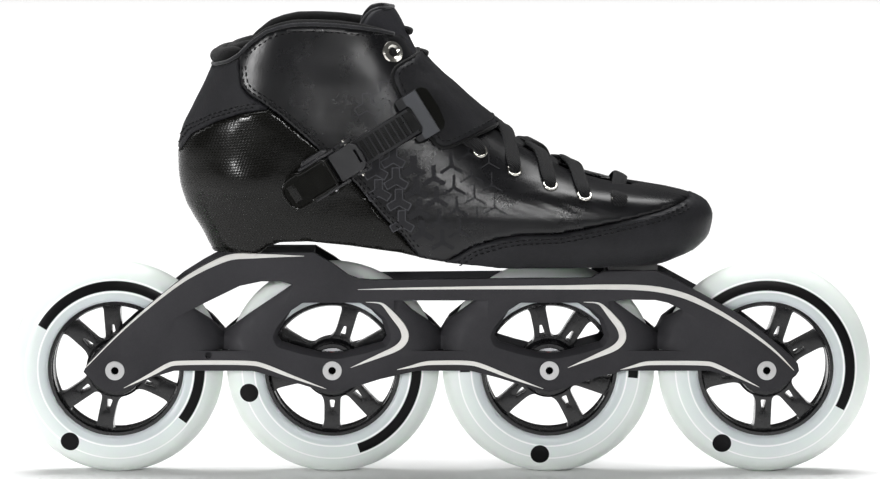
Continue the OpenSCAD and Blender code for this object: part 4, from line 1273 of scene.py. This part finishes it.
def hub_opening(a0, a1, half, r_in, r_out, soft):
    """Opening between two spokes at a0 and a1 degrees, each half wide, its corners smoothed over soft mm."""

    def edge(a, sgn, r):
        u, n = ray(a)
        return u * math.sqrt(max(r * r - half * half, 1)) + n * sgn * half

    def arc(r):
        p, q = edge(a0, 1, r), edge(a1, -1, r)
        b0, b1 = math.atan2(p[1], p[0]), math.atan2(q[1], q[0])
        b1 += TAU if b1 < b0 else 0
        return [(math.cos(b) * r, math.sin(b) * r) for b in np.linspace(b0, b1, 24)]

    ring = resample_loop(np.array(arc(r_out) + arc(r_in)[::-1]), 0.5)
    wave = np.fft.fftfreq(len(ring), 0.5)
    kernel = np.exp(-0.5 * (TAU * wave * soft) ** 2)[:, None]
    return np.real(np.fft.ifft(np.fft.fft(ring, axis=0) * kernel, axis=0))


def ring_points(r, n):
    a = np.arange(n) * TAU / n
    return np.stack([r * np.cos(a), r * np.sin(a)], 1)


def both_ways(half):
    """A closed (r, y) profile from its half where y is positive."""
    return half + [(r, -y) for r, y in reversed(half)]


def tyre(i, cx, start, dot):
    a = np.radians(np.linspace(-90, 90, 25))
    tread = np.stack([42 + 13 * np.cos(a), 12 * np.sin(a)], 1)
    bead = [(39.5, 12), (37.5, 11.7), (36.2, 11.2), (35.0, 10.6), (35.0, 4)]
    profile = np.concatenate([[(r, -y) for r, y in reversed(bead[:-1])], tread, bead, [(35.0, -4)]])
    o = tidy(obj(f"tyre_{i}_cast", *lathe(profile, cx, 160), None))
    paint(o, urethane(f"tyre_{i}_urethane", cx, start, dot))
    keep(o, f"wheel_{i}", "tyre", (f"tyre_{i}",))


def hub(i, cx, turn):
    """Six spokes in three pairs, each spoke with a slot, between a rim and a core for the bearings."""
    rim = both_ways([(34.9, 10.4), (33.2, 10.6), (32.9, 9.2), (32.5, 8.6), (32.3, 6.2), (32.9, 5.2)])
    core = both_ways([(9.3, 4.9), (11.1, 5.1), (11.1, 11.6), (11.4, 11.95), (13.1, 11.95), (13.6, 11.5),
                      (14.2, 7.4), (15.5, 6.0)])
    holes = []
    for t in (turn, turn + 120, turn + 240):
        holes.append(hub_opening(t - 22, t + 22, 4.2, 15.6, 32.9, 1.5))
        holes.append(hub_opening(t + 22, t + 98, 4.0, 15.0, 33.6, 3.2))
        for u, n in (ray(t - 22), ray(t + 22)):
            slot = [u * r + n * w for r, w in ((16.8, -1.5), (22.6, -0.6), (22.6, 0.6), (16.8, 1.5))]
            holes.append(rounded(slot, [0.8, 0.5, 0.5, 0.8], 6))
    holes.append(ring_points(13.0, 60))
    axle = np.array([cx, AXLE_Z])
    disc = plate(ring_points(33.4, 120) + axle, [h + axle for h in holes], -6.2, 6.2)
    web = tidy(obj(f"hub_{i}_web", *disc, "hub"))
    bevel(web, 1.0, 50)
    bake(web)
    sharpen(web, 42)
    keep(web, f"wheel_{i}", "hub")
    rings = tidy(obj(f"hub_{i}_rim_core", *join([lathe(rim, cx, 128), lathe(core, cx, 72)]), "hub"))
    sharpen(rings, 38)
    keep(rings, f"wheel_{i}", "hub", (f"hub_{i}",))


for number, (place, (hub_turn, print_end, dot_at)) in enumerate(zip(AXLES, TURNS), 1):
    tyre(number, place, print_end, dot_at)
    hub(number, place, hub_turn)

# ------------------------------------------------------------------ CAD nodes that stay, with a finish


def dress(node, mat, width=0.0):
    """Gives a CAD node its finish; width adds a fine bevel, as modifiers only."""
    o = frame["nodes"][node]
    paint(o, MATS[mat])
    if width:
        mod(o, "WELD", merge_threshold=0.004 * MM)
        bevel(o, width, 35, 2)
        mod(o, "WEIGHTED_NORMAL", keep_sharp=True)


FINISHES = {
    "bolt": {"axle_bolts": 0.12},
    "steel": {"bearing_spacers": 0, "bearing_inner_rings": 0, "mount_washers": 0.1, "lever_pin": 0.2,
              "lever_spring": 0, "release_spring": 0},
    "black_steel": {"mount_bolts": 0.2, "release_pin": 0.2},
    "block": {"rear_mount_plate": 0.4, "front_mount_block": 0.6},
    "silver": {"strap_anchor_screw": 0.2, "buckle_screw": 0.1},
    "chrome": {"guide_pin": 0.2, "bracket_pin": 0.2, "ankle_eyelets": 0},
    "buckle": {"buckle_base": 0.35, "release_lever": 0.45},
    "lever": {"buckle_lever": 0.45},
    "ladder": {"ladder_strap": 0.25},
}
for mat, nodes in FINISHES.items():
    for node, width in nodes.items():
        dress(node, mat, width)
for k in range(1, 5):
    dress(f"outer_rings_{k}", "steel")
    dress(f"shields_{k}", "shield")
    dress(f"ball_cages_{k}", "cage")

# ------------------------------------------------------------------ buckle details

TILT = math.radians(31.5)
STRAP_AT = np.array([-59.4, -42.5, 158.7])


def strap_place(p):
    """Points given as along the strap, across it and away from the boot, in the frame's axes."""
    u, v, w = np.asarray(p, float).T
    c, s = math.cos(TILT), math.sin(TILT)
    return STRAP_AT + np.stack([u * c - v * s, -w, u * s + v * c], 1)


def strap_block(name, outline, radii, h0, h1, edge, mat, body, slot, replaces=()):
    """A block on the strap from h0 to h1 above it, its outline given along and across the strap."""
    v, f = plate(rounded(outline, radii, 6), [], h0, h1)
    o = tidy(obj(name, strap_place(v[:, [0, 2, 1]]), f, mat))
    bevel(o, edge, 40)
    mod(o, "WEIGHTED_NORMAL", keep_sharp=True)
    keep(o, body, slot, replaces)


BODY = [(50, 13), (50, 7.7), (60, 7.7), (60, -7.7), (50, -7.7), (50, -11), (62.6, -11.4), (62.6, 13)]
PLATE = [(54.4, 12.6), (62.3, 12.8), (62.3, -11.2), (53.6, -11.2), (53.9, -7.4), (56, -5.2), (56, 5.8),
         (54.4, 8.6)]
SIDE = [(62.7, 13), (65.4, 12.6), (67.6, 10.4), (67.9, -0.5), (66.8, -8.6), (64.6, -11.2), (62.7, -11.4)]
LEVER = [(5.0, -7.1), (5.0, 7.1), (-9.6, 7.1), (-10.2, 8.2), (-17, 7.8), (-20.1, 5.7), (-21.6, 2.4),
         (-21.1, -4.3), (-18.8, -7.8), (-10.2, -8.2), (-9.6, -7.1)]
PANEL = [(4.0, -5.6), (4.0, 5.6), (-10.6, 5.6), (-12.6, 4.2), (-12.6, -4.2), (-10.6, -5.6)]
CHEEK = [(-7.4, 9.6), (-5.6, 11.6), (6.6, 11.6), (9, 9.6)]
CHEEK_LOW = [(-3, -9.6), (-1.6, -11), (6.6, -11), (8.4, -9.6)]

strap_block("bracket_body", BODY, [1.8, 0.5, 0.5, 0.5, 0.5, 1.8, 0.4, 0.4], 0.9, 4.3, 0.6, "ladder", "strap",
            "bracket", ("strap_bracket",))
strap_block("bracket_plate", PLATE, [1.2, 0.5, 0.5, 1.2, 0.8, 1.5, 1.5, 1], 4.35, 5.6, 0.45, "bracket",
            "strap", "bracket")
strap_block("bracket_side", SIDE, [0.5, 2, 3, 6, 3, 2, 0.5], 0.9, 5.2, 1.2, "lever", "strap", "bracket")
strap_block("lever_panel", PANEL, 1.4, 9.7, 10.15, 0.2, "lever", "lever", "lever")
strap_block("cheek_cover", CHEEK, [1.4, 2.4, 2.4, 1.4], 1.4, 7.6, 0.9, "buckle", "root", "buckle_plastic")
strap_block("cheek_cover_low", CHEEK_LOW, [1, 1.6, 1.6, 1], 1.4, 6.8, 0.7, "lever", "root", "buckle_plastic")
lever_line = resample_loop(rounded(LEVER, 2.2, 6), 0.8)
lever_line = strap_place(np.insert(lever_line, 2, 9.85, axis=1))
tube("lever_rim", lever_line, oval(1.5, 1.1, 10), [0, -1, 0], "lever", "lever", body="lever", closed=True)

# ------------------------------------------------------------------ camera and light


def area(name, loc, target, size, power, spread=180):
    """An area light of size metres at loc, turned to target; spread in degrees."""
    light = bpy.data.lights.new(name, "AREA")
    light.shape = "RECTANGLE"
    light.size, light.size_y = size
    light.energy = power
    light.spread = math.radians(spread)
    o = bpy.data.objects.new(name, light)
    o.location = loc
    o.rotation_euler = (Vector(target) - Vector(loc)).to_track_quat("-Z", "Y").to_euler()
    bpy.context.scene.collection.objects.link(o)


def stage_and_light():
    """The camera, the dim white room and the white floor that the photograph shows."""
    sc = bpy.context.scene
    sc.view_settings.view_transform = "Standard"
    cam = bpy.data.cameras.new("camera")
    cam.lens, cam.sensor_width = 164.2, 36.0
    cam.clip_end = 50
    o = bpy.data.objects.new("camera", cam)
    o.location = (-0.0039, -2.0567, 0.3676)
    o.rotation_euler = (math.radians(90 - 6.84), 0, math.radians(-0.098))
    sc.collection.objects.link(o)
    sc.camera = o
    world = bpy.data.worlds.new("studio")
    world.use_nodes = True
    sky = world.node_tree.nodes["Background"].inputs
    sky[0].default_value = (1, 1, 1, 1)
    sky[1].default_value = 0.09
    sc.world = world
    corners = [(-6000, -4000, 0), (6000, -4000, 0), (6000, 14000, 0), (-6000, 14000, 0)]
    floor = obj("floor", corners, [(0, 1, 2, 3)], None)
    paper = Mat("floor_paper", Roughness=0.8)
    paper.link(paper.mix(paper.noise(3, 2), (0.88, 0.88, 0.88), (0.92, 0.92, 0.92)), "Base Color")
    paint(floor, paper.material)
    area("top_box", (0.0, 0.2, 1.6), (0, 0.05, 0.12), (2.0, 0.7), 12, 90)
    area("vamp_box", (0.26, -2.28, 0.86), (0.02, 0, 0.15), (0.30, 0.16), 0.54, 35)
    area("heel_box", (-1.53, -1.64, 0.47), (-0.10, 0, 0.14), (0.24, 0.40), 0.72, 30)
    area("rear_rim", (-1.9, 0.5, 0.9), (-0.10, 0, 0.14), (0.5, 0.8), 5)
    area("toe_rim", (1.9, -0.4, 0.8), (0.12, 0, 0.14), (0.4, 0.4), 2)
    area("back_wash", (0, 2.6, 3.0), (0, 2.7, 0), (9.0, 3.6), 150, 70)


stage_and_light()
